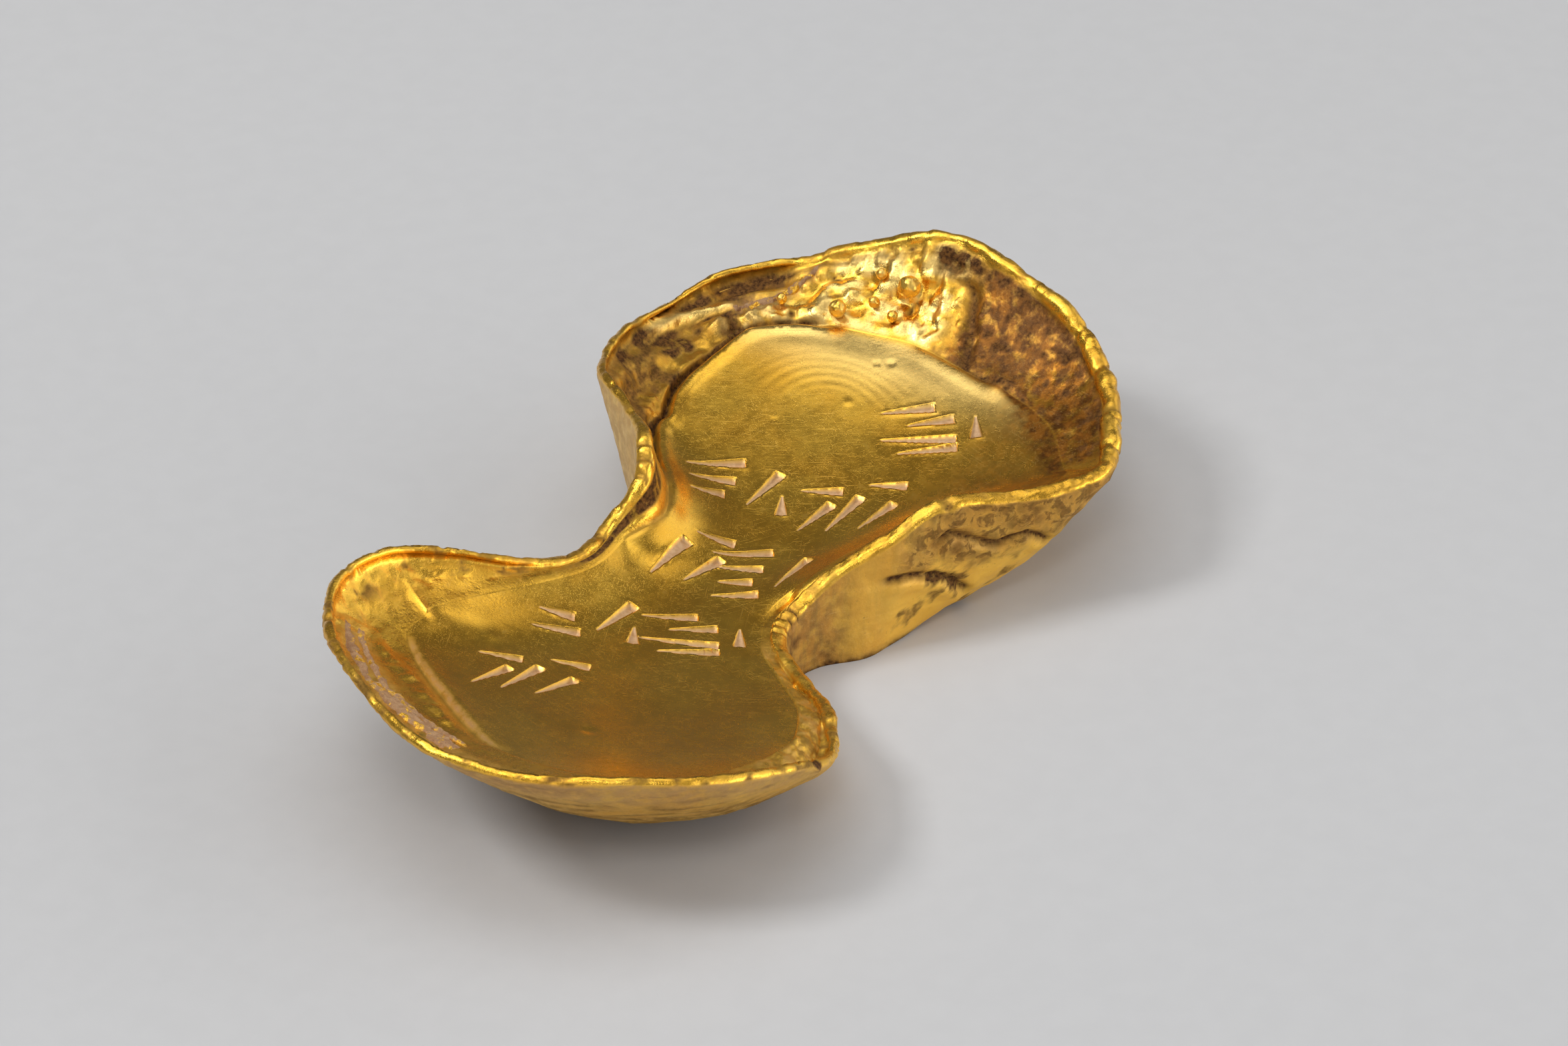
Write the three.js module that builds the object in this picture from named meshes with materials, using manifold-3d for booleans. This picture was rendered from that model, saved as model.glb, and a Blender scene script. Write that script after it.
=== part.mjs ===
// Gold sycee ingot: a waisted, dished casting on a small flat foot, with a thin uneven rim.
// Millimetres, +Z up. The long axis lies along X, with the higher lobe towards +X. The foot rests on z = 0.
import * as THREE from 'three';
import { mergeVertices } from 'three/addons/utils/BufferGeometryUtils.js';
import Module from 'manifold-3d';

// Reach of the rim from the waist, and its widths
const FAR_REACH = 47.5;
const NEAR_REACH = 46.2;
const FAR_LEFT_WIDTH = 24.2;
const FAR_RIGHT_WIDTH = 25.7;
const NEAR_LEFT_WIDTH = 24;
const NEAR_RIGHT_WIDTH = 22.8;
const WAIST_LEFT_WIDTH = 11.6;
const WAIST_RIGHT_WIDTH = 7.4;

// Heights of the rim above the table
const FAR_TIP_HEIGHT = 19.8;
const FAR_LEFT_HEIGHT = 16;
const FAR_RIGHT_HEIGHT = 12.8;
const NEAR_TIP_HEIGHT = 16.2;
const NEAR_LEFT_HEIGHT = 16.8;
const NEAR_RIGHT_HEIGHT = 10;
const WAIST_LEFT_HEIGHT = 11;
const WAIST_RIGHT_HEIGHT = 7.3;

// The foot, as shares of the rim's reach and width above it
const FOOT_REACH_SHARE = 0.6;
const FOOT_WIDTH_SHARE = 0.58;
const FOOT_WAIST_WIDTH = 8.4;

// Metal of the wall, the rim and the floor
const RIM_THICKNESS = 1.5;
const RIM_WAVE = 0.22;
const WALL_BULGE = 0.13;
const BELLY_BULGE = 0.1;
const WALL_REACH_SHARE = 0.37;
const INNER_REACH_SHARE = 0.45;
const INNER_DROP_SHARE = 0.72;
const FLOOR_AT_WAIST = 7;
const FAR_FLOOR_RISE = 7.6;
const NEAR_FLOOR_RISE = 8.4;
const LEFT_DISH = 0.8;
const RIGHT_DISH = 3;
const FLOOR_TILT = 0.085;
const GUTTER_DEPTH = 0.45;
const GUTTER_WIDTH = 1;

// Wedge cuts of the punched tally in the floor
const CUT_LENGTH = 8;
const CUT_WIDTH = 1.25;
const CUT_DEPTH = 0.55;
const CUT_PITCH = 2.1;
const CUT_POINT_WIDTH = 0.12;
const CUT_HEADROOM = 4;
const TALLY_TURN = -62;

// The blister in the floor, as shares of the far lobe's reach and width, and the cold shuts
const BLISTER_ALONG = 0.79;
const BLISTER_ACROSS = 0.46;
const BLISTER_RADIUS = 1.5;
const BLISTER_NARROWING = 0.75;
const BLISTER_FLATNESS = 0.4;
const SHUT_WIDTH = 0.36;
const SHUT_DEPTH = 0.45;

// Deposits and loose drops
const SEAT_GAP = 0.3;
const CRUST_THICKNESS = 0.6;
const CRUST_EDGE_SHARE = 0.35;
const DROP_RADIUS = 0.95;
const KNOB_OUT_SHARE = 0.24;

// How finely the surfaces are faceted
const STEPS_PER_STATION = 3;
const WALL_RINGS = 7;
const INNER_RINGS = 6;
const FLOOR_RINGS = 9;
const FOOT_RINGS = 2;
const RIM_ARC_STEPS = 4;
const DROP_SEGMENTS = 12;
const DROP_RINGS = 8;
const CRUST_COLUMNS = 18;
const CRUST_ROWS = 5;
const SHUT_COLUMNS = 16;

// How far apart two places are taken to find a direction, round the outline and across a wall
const TURN_PROBE = 0.003;
const SHARE_PROBE = 0.02;

const GOLD = new THREE.MeshStandardMaterial({ color: 0xc9962e, roughness: 0.32, metalness: 1 });
const DROP_GOLD = new THREE.MeshStandardMaterial({ color: 0xd8ab45, roughness: 0.25, metalness: 1 });
const DEPOSIT = new THREE.MeshStandardMaterial({ color: 0xb08a78, roughness: 0.9, metalness: 0 });

const footFar = FAR_REACH * FOOT_REACH_SHARE;
const footNear = NEAR_REACH * FOOT_REACH_SHARE;
const centre = new THREE.Vector2(0, (WAIST_LEFT_WIDTH - WAIST_RIGHT_WIDTH) / 2);

// One station of the outline, walked anticlockwise from the far tip: the rim's place and height, the
// foot's place under it and how far the floor's edge lies inside the rim.
function station(rimX, rimY, rimZ, footX, footY, inset) {
  return { rim: new THREE.Vector3(rimX, rimY, rimZ), foot: new THREE.Vector3(footX, footY, 0), inset };
}

// A lobe's corner, side and tip stations share its reach, width and heights.
function farPoint(alongShare, acrossShare, width, height, inset) {
  const across = acrossShare * width;
  return station(alongShare * FAR_REACH, across, height,
    alongShare * footFar, across * FOOT_WIDTH_SHARE, inset);
}

function nearPoint(alongShare, acrossShare, width, height, inset) {
  const across = acrossShare * width;
  return station(-alongShare * NEAR_REACH, across, height,
    -alongShare * footNear, across * FOOT_WIDTH_SHARE, inset);
}

// Between a lobe's corner and the waist the foot turns outwards sooner than the rim does.
function flankPoint(along, across, height, footShare, footAcross, inset) {
  return station(along, across, height, along * footShare, footAcross, inset);
}

function between(low, high, share) {
  return low + (high - low) * share;
}

const farLeftRise = (share) => between(FAR_LEFT_HEIGHT, FAR_TIP_HEIGHT, share);
const farRightRise = (share) => between(FAR_RIGHT_HEIGHT, FAR_TIP_HEIGHT, share);
const nearRightRise = (share) => between(NEAR_RIGHT_HEIGHT, NEAR_TIP_HEIGHT, share);
const nearLeftRise = (share) => between(NEAR_LEFT_HEIGHT, NEAR_TIP_HEIGHT, share);

const stations = [
  farPoint(1, 0, FAR_LEFT_WIDTH, FAR_TIP_HEIGHT, 8.6),
  farPoint(0.975, 0.31, FAR_LEFT_WIDTH, farLeftRise(0.6), 8.2),
  farPoint(0.91, 0.65, FAR_LEFT_WIDTH, farLeftRise(-0.08), 7),
  farPoint(0.8, 0.89, FAR_LEFT_WIDTH, farLeftRise(-0.3), 6.4),
  farPoint(0.65, 0.99, FAR_LEFT_WIDTH, farLeftRise(-0.56), 6.4),
  farPoint(0.47, 0.99, FAR_LEFT_WIDTH, farLeftRise(-0.24), 5.6),
  farPoint(0.335, 0.91, FAR_LEFT_WIDTH, farLeftRise(0.02), 5.4),
  flankPoint(11.2, 16.6, farLeftRise(0.18), 0.55, 12.4, 2.6),
  flankPoint(6.2, 11.9, farLeftRise(0.22), 0.5, 10.6, 2.1),
  flankPoint(2.6, 10.4, between(WAIST_LEFT_HEIGHT, FAR_LEFT_HEIGHT, 0.8), 0.5, 9.6, 1.9),
  flankPoint(-1.2, WAIST_LEFT_WIDTH, WAIST_LEFT_HEIGHT * 1.06, 0.5, 9.4, 1.8),
  flankPoint(-6.2, WAIST_LEFT_WIDTH * 1.02, WAIST_LEFT_HEIGHT, 0.5, 9.8, 1.8),
  flankPoint(-12.5, 15, between(WAIST_LEFT_HEIGHT, NEAR_LEFT_HEIGHT, 0.3), 0.54, 10.4, 2.4),
  flankPoint(-16.7, 19.3, between(WAIST_LEFT_HEIGHT, NEAR_LEFT_HEIGHT, 0.6), 0.58, 11.8, 4),
  nearPoint(0.46, 0.96, NEAR_LEFT_WIDTH, between(WAIST_LEFT_HEIGHT, NEAR_LEFT_HEIGHT, 0.9), 5.6),
  nearPoint(0.6, 1, NEAR_LEFT_WIDTH, NEAR_LEFT_HEIGHT, 6.2),
  nearPoint(0.735, 0.9, NEAR_LEFT_WIDTH, nearLeftRise(-0.2), 7.2),
  nearPoint(0.86, 0.66, NEAR_LEFT_WIDTH, nearLeftRise(-0.2), 8),
  nearPoint(0.95, 0.37, NEAR_LEFT_WIDTH, nearLeftRise(0.5), 7.4),
  nearPoint(1, 0.08, NEAR_LEFT_WIDTH, NEAR_TIP_HEIGHT, 6.2),
  nearPoint(0.98, -0.25, NEAR_RIGHT_WIDTH, NEAR_TIP_HEIGHT, 5.2),
  nearPoint(0.9, -0.6, NEAR_RIGHT_WIDTH, nearRightRise(0.92), 4.2),
  nearPoint(0.77, -0.86, NEAR_RIGHT_WIDTH, nearRightRise(0.72), 4),
  nearPoint(0.6, -0.98, NEAR_RIGHT_WIDTH, nearRightRise(0.25), 3.8),
  nearPoint(0.46, -0.98, NEAR_RIGHT_WIDTH, nearRightRise(-0.1), 3.4),
  nearPoint(0.335, -0.83, NEAR_RIGHT_WIDTH, between(WAIST_RIGHT_HEIGHT, NEAR_RIGHT_HEIGHT, 0.45), 2.6),
  flankPoint(-10.4, -13.9, WAIST_RIGHT_HEIGHT, 0.55, -10.6, 2),
  flankPoint(-5.6, -8.8, WAIST_RIGHT_HEIGHT * 0.92, 0.5, -8.6, 1.7),
  flankPoint(-1.6, -WAIST_RIGHT_WIDTH, WAIST_RIGHT_HEIGHT, 0.5, -FOOT_WAIST_WIDTH, 1.6),
  flankPoint(2.4, -8.5, WAIST_RIGHT_HEIGHT * 1.18, 0.6, -9.3, 1.6),
  flankPoint(7.4, -12.4, between(WAIST_RIGHT_HEIGHT, FAR_RIGHT_HEIGHT, 0.75), 0.62, -12.2, 1.7),
  flankPoint(12.2, -15.8, farRightRise(0.1), 0.6, -13.2, 2),
  flankPoint(17.4, -19.5, farRightRise(0.1), 0.6, -13.9, 2.6),
  farPoint(0.47, -0.93, FAR_RIGHT_WIDTH, farRightRise(0.02), 3.2),
  farPoint(0.58, -1, FAR_RIGHT_WIDTH, FAR_RIGHT_HEIGHT, 3.9),
  farPoint(0.7, -0.91, FAR_RIGHT_WIDTH, farRightRise(0.06), 5),
  farPoint(0.81, -0.785, FAR_RIGHT_WIDTH, farRightRise(0.28), 6.4),
  farPoint(0.9, -0.61, FAR_RIGHT_WIDTH, farRightRise(0.58), 7.6),
  farPoint(0.962, -0.35, FAR_RIGHT_WIDTH, farRightRise(0.86), 8.2),
];

const rimCurve = new THREE.CatmullRomCurve3(stations.map((s) => s.rim), true, 'centripetal');
const footCurve = new THREE.CatmullRomCurve3(stations.map((s) => s.foot), true, 'centripetal');
const around = stations.length * STEPS_PER_STATION;

// How far a place on the outline lies inside a stretch of it: 0 outside, 1 in the middle of the stretch.
function stretch(turn, from, to, fade) {
  const into = Math.min(turn - from, to - turn) / fade;
  return THREE.MathUtils.smoothstep(into, 0, 1);
}

// A gutter runs below the far lobe's left wall and along the near lobe's left end.
function gutterDepth(turn) {
  return GUTTER_DEPTH * (stretch(turn, 0.03, 0.235, 0.04) + stretch(turn, 0.37, 0.5, 0.04));
}

// The outer wall hangs fuller below the right side of both lobes, and flatter round the near left.
function bulgeAt(turn) {
  const full = stretch(turn, 0.48, 0.66, 0.06) + stretch(turn, 0.76, 0.94, 0.07);
  return WALL_BULGE + BELLY_BULGE * (full - 0.5 * stretch(turn, 0.36, 0.5, 0.06));
}

// The same smooth blend between stations carries the inset of the floor's edge.
const insetCurve = new THREE.CatmullRomCurve3(
  stations.map((s, i) => new THREE.Vector3(i, s.inset, 0)), true, 'catmullrom');

// The floor bows up towards both tips, curls up to its right side and leans up to its left.
function floorHeight(x, y) {
  const along = x > 0 ? x / FAR_REACH : x / NEAR_REACH;
  const rise = x > 0 ? FAR_FLOOR_RISE : NEAR_FLOOR_RISE;
  const across = (y - centre.y) / FAR_LEFT_WIDTH;
  const dish = across > 0 ? LEFT_DISH : RIGHT_DISH;
  const tilt = FLOOR_TILT * (y - centre.y);
  return FLOOR_AT_WAIST + rise * along * along + dish * across * across + tilt;
}

// Small uneven waves that a hand-poured rim keeps, from a few sines of whole turns.
function rimWave(t) {
  const turn = t * Math.PI * 2;
  const side = Math.sin(turn * 11 + 0.7) + 0.6 * Math.sin(turn * 23 + 2.1);
  const lift = Math.sin(turn * 9 + 1.3) + 0.7 * Math.sin(turn * 19 + 0.4);
  return { side: side * RIM_WAVE * 0.5, lift: lift * RIM_WAVE };
}

// Everything that one step round the outline needs: rim centre, outward direction, foot and floor edge.
function sectionAt(t) {
  const rim = rimCurve.getPoint(t);
  const ahead = rimCurve.getPoint((t + TURN_PROBE) % 1);
  const behind = rimCurve.getPoint((t + 1 - TURN_PROBE) % 1);
  const outward = new THREE.Vector3(ahead.y - behind.y, behind.x - ahead.x, 0).normalize();
  const wave = rimWave(t);
  rim.addScaledVector(outward, wave.side);
  rim.z += wave.lift;
  const inset = insetCurve.getPoint(t).y;
  const edge = rim.clone().addScaledVector(outward, -inset);
  edge.z = floorHeight(edge.x, edge.y) - gutterDepth(t);
  return { rim, outward, foot: footCurve.getPoint(t), edge, bulge: bulgeAt(t) };
}

function bend(start, control, end, share) {
  return new THREE.QuadraticBezierCurve3(start, control, end).getPoint(share);
}

function outerWall(section, share) {
  const top = section.rim.clone().addScaledVector(section.outward, RIM_THICKNESS / 2);
  top.z -= RIM_THICKNESS / 2;
  const control = section.foot.clone().lerp(top, WALL_REACH_SHARE + section.bulge);
  control.z = top.z * (0.5 - section.bulge);
  return bend(section.foot, control, top, share);
}

function innerWall(section, share) {
  const top = section.rim.clone().addScaledVector(section.outward, -RIM_THICKNESS / 2);
  top.z -= RIM_THICKNESS / 2;
  const control = top.clone().lerp(section.edge, INNER_REACH_SHARE);
  control.z = between(top.z, section.edge.z, INNER_DROP_SHARE);
  return bend(top, control, section.edge, share);
}

function rimArc(section, share) {
  const angle = Math.PI * share;
  const point = section.rim.clone();
  point.addScaledVector(section.outward, Math.cos(angle) * RIM_THICKNESS / 2);
  point.z += (Math.sin(angle) - 1) * RIM_THICKNESS / 2;
  return point;
}

// A place on the floor between its edge and its middle.
function floorPoint(section, middle, share) {
  const point = section.edge.clone().lerp(middle, share);
  point.z = floorHeight(point.x, point.y);
  return point;
}

// Rings from the middle of the foot, out, up the wall, over the rim, down inside and across the floor.
function bodyRings() {
  const sections = [];
  for (let i = 0; i < around; i += 1) {
    sections.push(sectionAt(i / around));
  }
  const footCentre = new THREE.Vector3(centre.x, centre.y, 0);
  const floorCentre = new THREE.Vector3(centre.x, centre.y, floorHeight(centre.x, centre.y));
  const rings = [];
  for (let k = 1; k <= FOOT_RINGS; k += 1) {
    rings.push(sections.map((s) => footCentre.clone().lerp(s.foot, k / (FOOT_RINGS + 1))));
  }
  for (let k = 0; k < WALL_RINGS; k += 1) {
    rings.push(sections.map((s) => outerWall(s, k / WALL_RINGS)));
  }
  for (let k = 0; k < RIM_ARC_STEPS; k += 1) {
    rings.push(sections.map((s) => rimArc(s, k / RIM_ARC_STEPS)));
  }
  for (let k = 0; k < INNER_RINGS; k += 1) {
    rings.push(sections.map((s) => innerWall(s, k / INNER_RINGS)));
  }
  rings.push(sections.map((s) => s.edge.clone()));
  rings.push(sections.map((s) => {
    const across = s.edge.distanceTo(floorCentre);
    return floorPoint(s, floorCentre, GUTTER_WIDTH / across);
  }));
  for (let k = 1; k < FLOOR_RINGS; k += 1) {
    rings.push(sections.map((s) => floorPoint(s, floorCentre, k / FLOOR_RINGS)));
  }
  return { rings, footCentre, floorCentre };
}

// A closed skin over rings of equal count, with a fan to a point at each end.
function skin(rings, first, last) {
  const count = rings[0].length;
  const positions = [first.x, first.y, first.z];
  const index = [];
  for (const ring of rings) {
    for (const point of ring) {
      positions.push(point.x, point.y, point.z);
    }
  }
  positions.push(last.x, last.y, last.z);
  const end = positions.length / 3 - 1;
  for (let i = 0; i < count; i += 1) {
    const next = (i + 1) % count;
    index.push(0, 1 + next, 1 + i);
    for (let k = 0; k + 1 < rings.length; k += 1) {
      const low = 1 + k * count;
      const high = low + count;
      index.push(low + i, low + next, high + next);
      index.push(low + i, high + next, high + i);
    }
    const top = 1 + (rings.length - 1) * count;
    index.push(top + i, top + next, end);
  }
  const geometry = new THREE.BufferGeometry();
  geometry.setAttribute('position', new THREE.Float32BufferAttribute(positions, 3));
  geometry.setIndex(index);
  return geometry;
}

const wasm = await Module();
wasm.setup();

function toSolid(geometry) {
  const bare = geometry.clone();
  bare.deleteAttribute('normal');
  bare.deleteAttribute('uv');
  const merged = mergeVertices(bare, 1e-5);
  return new wasm.Manifold(new wasm.Mesh({
    numProp: 3,
    vertProperties: Float32Array.from(merged.attributes.position.array),
    triVerts: Uint32Array.from(merged.index.array),
  }));
}

function toGeometry(solid) {
  const mesh = solid.getMesh();
  const geometry = new THREE.BufferGeometry();
  geometry.setAttribute('position', new THREE.BufferAttribute(Float32Array.from(mesh.vertProperties), 3));
  geometry.setIndex(new THREE.BufferAttribute(Uint32Array.from(mesh.triVerts), 1));
  geometry.computeVertexNormals();
  return geometry;
}

// One wedge cut: a thin triangle in plan that sinks from its point to its broad end.
function wedge(x, y, heading, length) {
  const outline = new THREE.Shape();
  outline.moveTo(0, -CUT_POINT_WIDTH / 2);
  outline.lineTo(length, -CUT_WIDTH / 2);
  outline.lineTo(length, CUT_WIDTH / 2);
  outline.lineTo(0, CUT_POINT_WIDTH / 2);
  outline.closePath();
  const geometry = new THREE.ExtrudeGeometry(outline, { depth: CUT_HEADROOM, bevelEnabled: false });
  geometry.translate(0, 0, -CUT_POINT_WIDTH / 2);
  const broadX = x + Math.cos(heading) * length;
  const broadY = y + Math.sin(heading) * length;
  const fall = floorHeight(x, y) - floorHeight(broadX, broadY) + CUT_DEPTH;
  geometry.rotateY(Math.atan2(fall, length));
  geometry.rotateZ(heading);
  geometry.translate(x, y, floorHeight(x, y));
  return geometry;
}

// The tally's fields lie in two rows along the floor. Each holds one of three patterns of cuts.
const fields = [
  { along: 0.6, across: -0.36, pattern: 'rows' },
  { along: 0.34, across: -0.27, pattern: 'fan' },
  { along: 0.06, across: -0.17, pattern: 'mixed' },
  { along: -0.21, across: -0.15, pattern: 'rows' },
  { along: 0.28, across: 0.2, pattern: 'mixed' },
  { along: 0.02, across: 0.17, pattern: 'fan' },
  { along: -0.27, across: 0.26, pattern: 'mixed' },
  { along: -0.54, across: 0.2, pattern: 'fan' },
];

// Cuts of a pattern: start across and down the field in pitches, turn in degrees, share of full length.
const patterns = {
  rows: [
    [-2.2, -1.6, 4, 0.7],
    [-1, -0.7, 7, 0.62],
    [-2.4, 0.1, -4, 1],
    [-1.6, 1.1, 3, 0.8],
    [2.3, -1.2, -90, 0.42],
  ],
  fan: [
    [-2.3, 1.7, 50, 0.7],
    [-1.1, 1.9, 56, 0.85],
    [0.4, 1.8, 47, 0.7],
    [-2.2, -1.3, -3, 0.55],
    [0.9, -1.6, -8, 0.5],
  ],
  mixed: [
    [-2.3, -1.5, 6, 0.8],
    [-2, -0.6, -2, 0.6],
    [0.6, 1.3, 55, 0.8],
    [-2.2, 1.6, 3, 0.6],
    [-1.9, 0.5, 0, 0.45],
    [2.4, 0.2, -92, 0.4],
  ],
};

// How far a place lies inside the floor's edge, negative outside it.
function roomAt(x, y, outline) {
  let inside = false;
  let nearest = Infinity;
  outline.forEach((a, i) => {
    const b = outline[(i + 1) % outline.length];
    if ((a.y > y) !== (b.y > y) && x < a.x + (b.x - a.x) * (y - a.y) / (b.y - a.y)) {
      inside = !inside;
    }
    nearest = Math.min(nearest, Math.hypot(a.x - x, a.y - y));
  });
  return inside ? nearest : -nearest;
}

// The cuts run across the floor, turned by TALLY_TURN from the long axis. Only those that stay clear of
// the walls are made.
function tallyCuts() {
  const cuts = [];
  const outline = Array.from({ length: around * 2 }, (_, i) => sectionAt(i / (around * 2)).edge);
  const across = THREE.MathUtils.degToRad(TALLY_TURN);
  const down = across - Math.PI / 2;
  for (const field of fields) {
    const x = field.along * (field.along > 0 ? FAR_REACH : NEAR_REACH);
    const y = centre.y + field.across * (field.across > 0 ? NEAR_LEFT_WIDTH : NEAR_RIGHT_WIDTH);
    for (const [u, v, turn, share] of patterns[field.pattern]) {
      const startX = x + (Math.cos(across) * u + Math.cos(down) * v) * CUT_PITCH;
      const startY = y + (Math.sin(across) * u + Math.sin(down) * v) * CUT_PITCH;
      const heading = across + THREE.MathUtils.degToRad(turn);
      const length = share * CUT_LENGTH;
      const endX = startX + Math.cos(heading) * length;
      const endY = startY + Math.sin(heading) * length;
      if (Math.min(roomAt(startX, startY, outline), roomAt(endX, endY, outline)) > CUT_WIDTH) {
        cuts.push(wedge(startX, startY, heading, length));
      }
    }
  }
  return cuts;
}

// The direction away from the inner wall at a place on it.
function innerNormal(section, t, share) {
  const point = innerWall(section, share);
  const down = innerWall(section, share + SHARE_PROBE).sub(innerWall(section, share - SHARE_PROBE));
  const beside = innerWall(sectionAt((t + TURN_PROBE) % 1), share).sub(point);
  const normal = down.cross(beside).normalize();
  return normal.z < 0 ? normal.negate() : normal;
}

// A thin deposit that follows the inner wall: a patch of it, thick in the middle and thin at its edge.
function crust(fromTurn, toTurn, fromShare, toShare) {
  const columns = CRUST_COLUMNS;
  const rows = CRUST_ROWS;
  const low = [];
  const high = [];
  for (let i = 0; i <= columns; i += 1) {
    for (let k = 0; k <= rows; k += 1) {
      const t = (between(fromTurn, toTurn, i / columns) + 1) % 1;
      const share = between(fromShare, toShare, k / rows);
      const section = sectionAt(t);
      const point = innerWall(section, share);
      const normal = innerNormal(section, t, share);
      const swell = Math.sin(Math.PI * i / columns) * Math.sin(Math.PI * k / rows);
      low.push(point.clone().addScaledVector(normal, SEAT_GAP));
      const thickness = CRUST_THICKNESS * between(CRUST_EDGE_SHARE, 1, swell);
      high.push(point.clone().addScaledVector(normal, SEAT_GAP + thickness));
    }
  }
  return slab(low, high, columns, rows);
}

// Two sheets of points over the same grid, joined along their edges into one closed slab.
function slab(low, high, columns, rows) {
  const positions = [];
  for (const point of [...low, ...high]) {
    positions.push(point.x, point.y, point.z);
  }
  const at = (i, k) => i * (rows + 1) + k;
  const shift = low.length;
  const index = [];
  for (let i = 0; i < columns; i += 1) {
    for (let k = 0; k < rows; k += 1) {
      const [a, b, c, d] = [at(i, k), at(i + 1, k), at(i + 1, k + 1), at(i, k + 1)];
      index.push(a, c, b, a, d, c);
      index.push(a + shift, b + shift, c + shift, a + shift, c + shift, d + shift);
    }
  }
  const edge = [];
  for (let i = 0; i < columns; i += 1) {
    edge.push(at(i, 0));
  }
  for (let k = 0; k < rows; k += 1) {
    edge.push(at(columns, k));
  }
  for (let i = columns; i > 0; i -= 1) {
    edge.push(at(i, rows));
  }
  for (let k = rows; k > 0; k -= 1) {
    edge.push(at(0, k));
  }
  edge.forEach((a, n) => {
    const b = edge[(n + 1) % edge.length];
    index.push(a, b, b + shift, a, b + shift, a + shift);
  });
  const geometry = new THREE.BufferGeometry();
  geometry.setAttribute('position', new THREE.Float32BufferAttribute(positions, 3));
  geometry.setIndex(index);
  geometry.computeVertexNormals();
  return geometry;
}

// A drop lies against the inner wall, clear of it by the seat gap.
function drop(turn, share, radius) {
  const section = sectionAt(turn);
  const point = innerWall(section, share);
  const normal = innerNormal(section, turn, share);
  const geometry = new THREE.SphereGeometry(radius, DROP_SEGMENTS, DROP_RINGS);
  const centreOfDrop = point.addScaledVector(normal, radius + SEAT_GAP);
  geometry.translate(centreOfDrop.x, centreOfDrop.y, centreOfDrop.z);
  return geometry;
}

// Drops on the far wall: place round the outline, place down the wall, size.
const drops = [
  { turn: 0.012, share: 0.45, size: 1.3 },
  { turn: 0.036, share: 0.85, size: 1 },
  { turn: 0.025, share: 0.64, size: 0.65 },
  { turn: 0.017, share: 0.78, size: 0.66 },
  { turn: 0.024, share: 0.3, size: 0.66 },
  { turn: 0.058, share: 0.62, size: 0.6 },
];

// Knobs that froze into the far wall, given like the drops. They stand out by a part of their size.
const knobs = [
  { turn: 0.043, share: 0.17, size: 1.15 },
  { turn: 0.048, share: 0.36, size: 1 },
  { turn: 0.034, share: 0.1, size: 0.6 },
  { turn: 0.009, share: 0.1, size: 0.9 },
  { turn: 0.998, share: 0.4, size: 0.9 },
  { turn: 0.996, share: 0.65, size: 0.85 },
  { turn: 0.043, share: 0.62, size: 0.7 },
];

function knob(place) {
  const section = sectionAt(place.turn);
  const centreOfKnob = innerWall(section, place.share);
  const normal = innerNormal(section, place.turn, place.share);
  const radius = place.size * DROP_RADIUS;
  centreOfKnob.addScaledVector(normal, KNOB_OUT_SHARE * radius);
  const geometry = new THREE.SphereGeometry(radius, DROP_SEGMENTS, DROP_RINGS);
  geometry.translate(centreOfKnob.x, centreOfKnob.y, centreOfKnob.z);
  return geometry;
}

// A low blister in the far lobe's floor, near its right side.
function blister() {
  const geometry = new THREE.SphereGeometry(BLISTER_RADIUS, DROP_SEGMENTS, DROP_RINGS);
  const x = BLISTER_ALONG * FAR_REACH;
  const y = centre.y - BLISTER_ACROSS * FAR_RIGHT_WIDTH;
  geometry.scale(1, BLISTER_NARROWING, BLISTER_FLATNESS);
  geometry.translate(x, y, floorHeight(x, y));
  return geometry;
}

// Cold shuts: thin arched grooves in the right outer wall, where one flow of metal lapped over another.
// Each is a row of places round the outline and up the wall.
const coldShuts = [
  [[0.795, 0.79], [0.802, 0.86], [0.815, 0.8], [0.828, 0.75], [0.839, 0.79], [0.852, 0.7], [0.864, 0.62]],
  [[0.771, 0.75], [0.782, 0.69], [0.796, 0.61], [0.809, 0.56], [0.823, 0.46], [0.838, 0.34]],
];

function coldShut(path) {
  const line = new THREE.CatmullRomCurve3(path.map(([turn, share]) => new THREE.Vector3(turn, share, 0)));
  const columns = SHUT_COLUMNS;
  const low = [];
  const high = [];
  for (let i = 0; i <= columns; i += 1) {
    const place = line.getPoint(i / columns);
    const section = sectionAt(place.x);
    const point = outerWall(section, place.y);
    const above = outerWall(section, place.y + SHARE_PROBE);
    const up = above.sub(outerWall(section, place.y - SHARE_PROBE)).normalize();
    const ahead = outerWall(sectionAt(place.x + TURN_PROBE), place.y);
    const beside = ahead.sub(outerWall(sectionAt(place.x - TURN_PROBE), place.y));
    const out = beside.cross(up).normalize();
    const taper = Math.sin(Math.PI * (i + 1) / (columns + 2));
    const half = SHUT_WIDTH / 2 * taper;
    for (const side of [-half, half]) {
      low.push(point.clone().addScaledVector(up, side).addScaledVector(out, -SHUT_DEPTH));
      high.push(point.clone().addScaledVector(up, side).addScaledVector(out, SHUT_DEPTH));
    }
  }
  return slab(low, high, columns, 1);
}

const rings = bodyRings();
let body = toSolid(skin(rings.rings, rings.footCentre, rings.floorCentre));
for (const lump of [...knobs.map(knob), blister()]) {
  body = body.add(toSolid(lump));
}
for (const cut of [...tallyCuts(), ...coldShuts.map(coldShut)]) {
  body = body.subtract(toSolid(cut));
}

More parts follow.
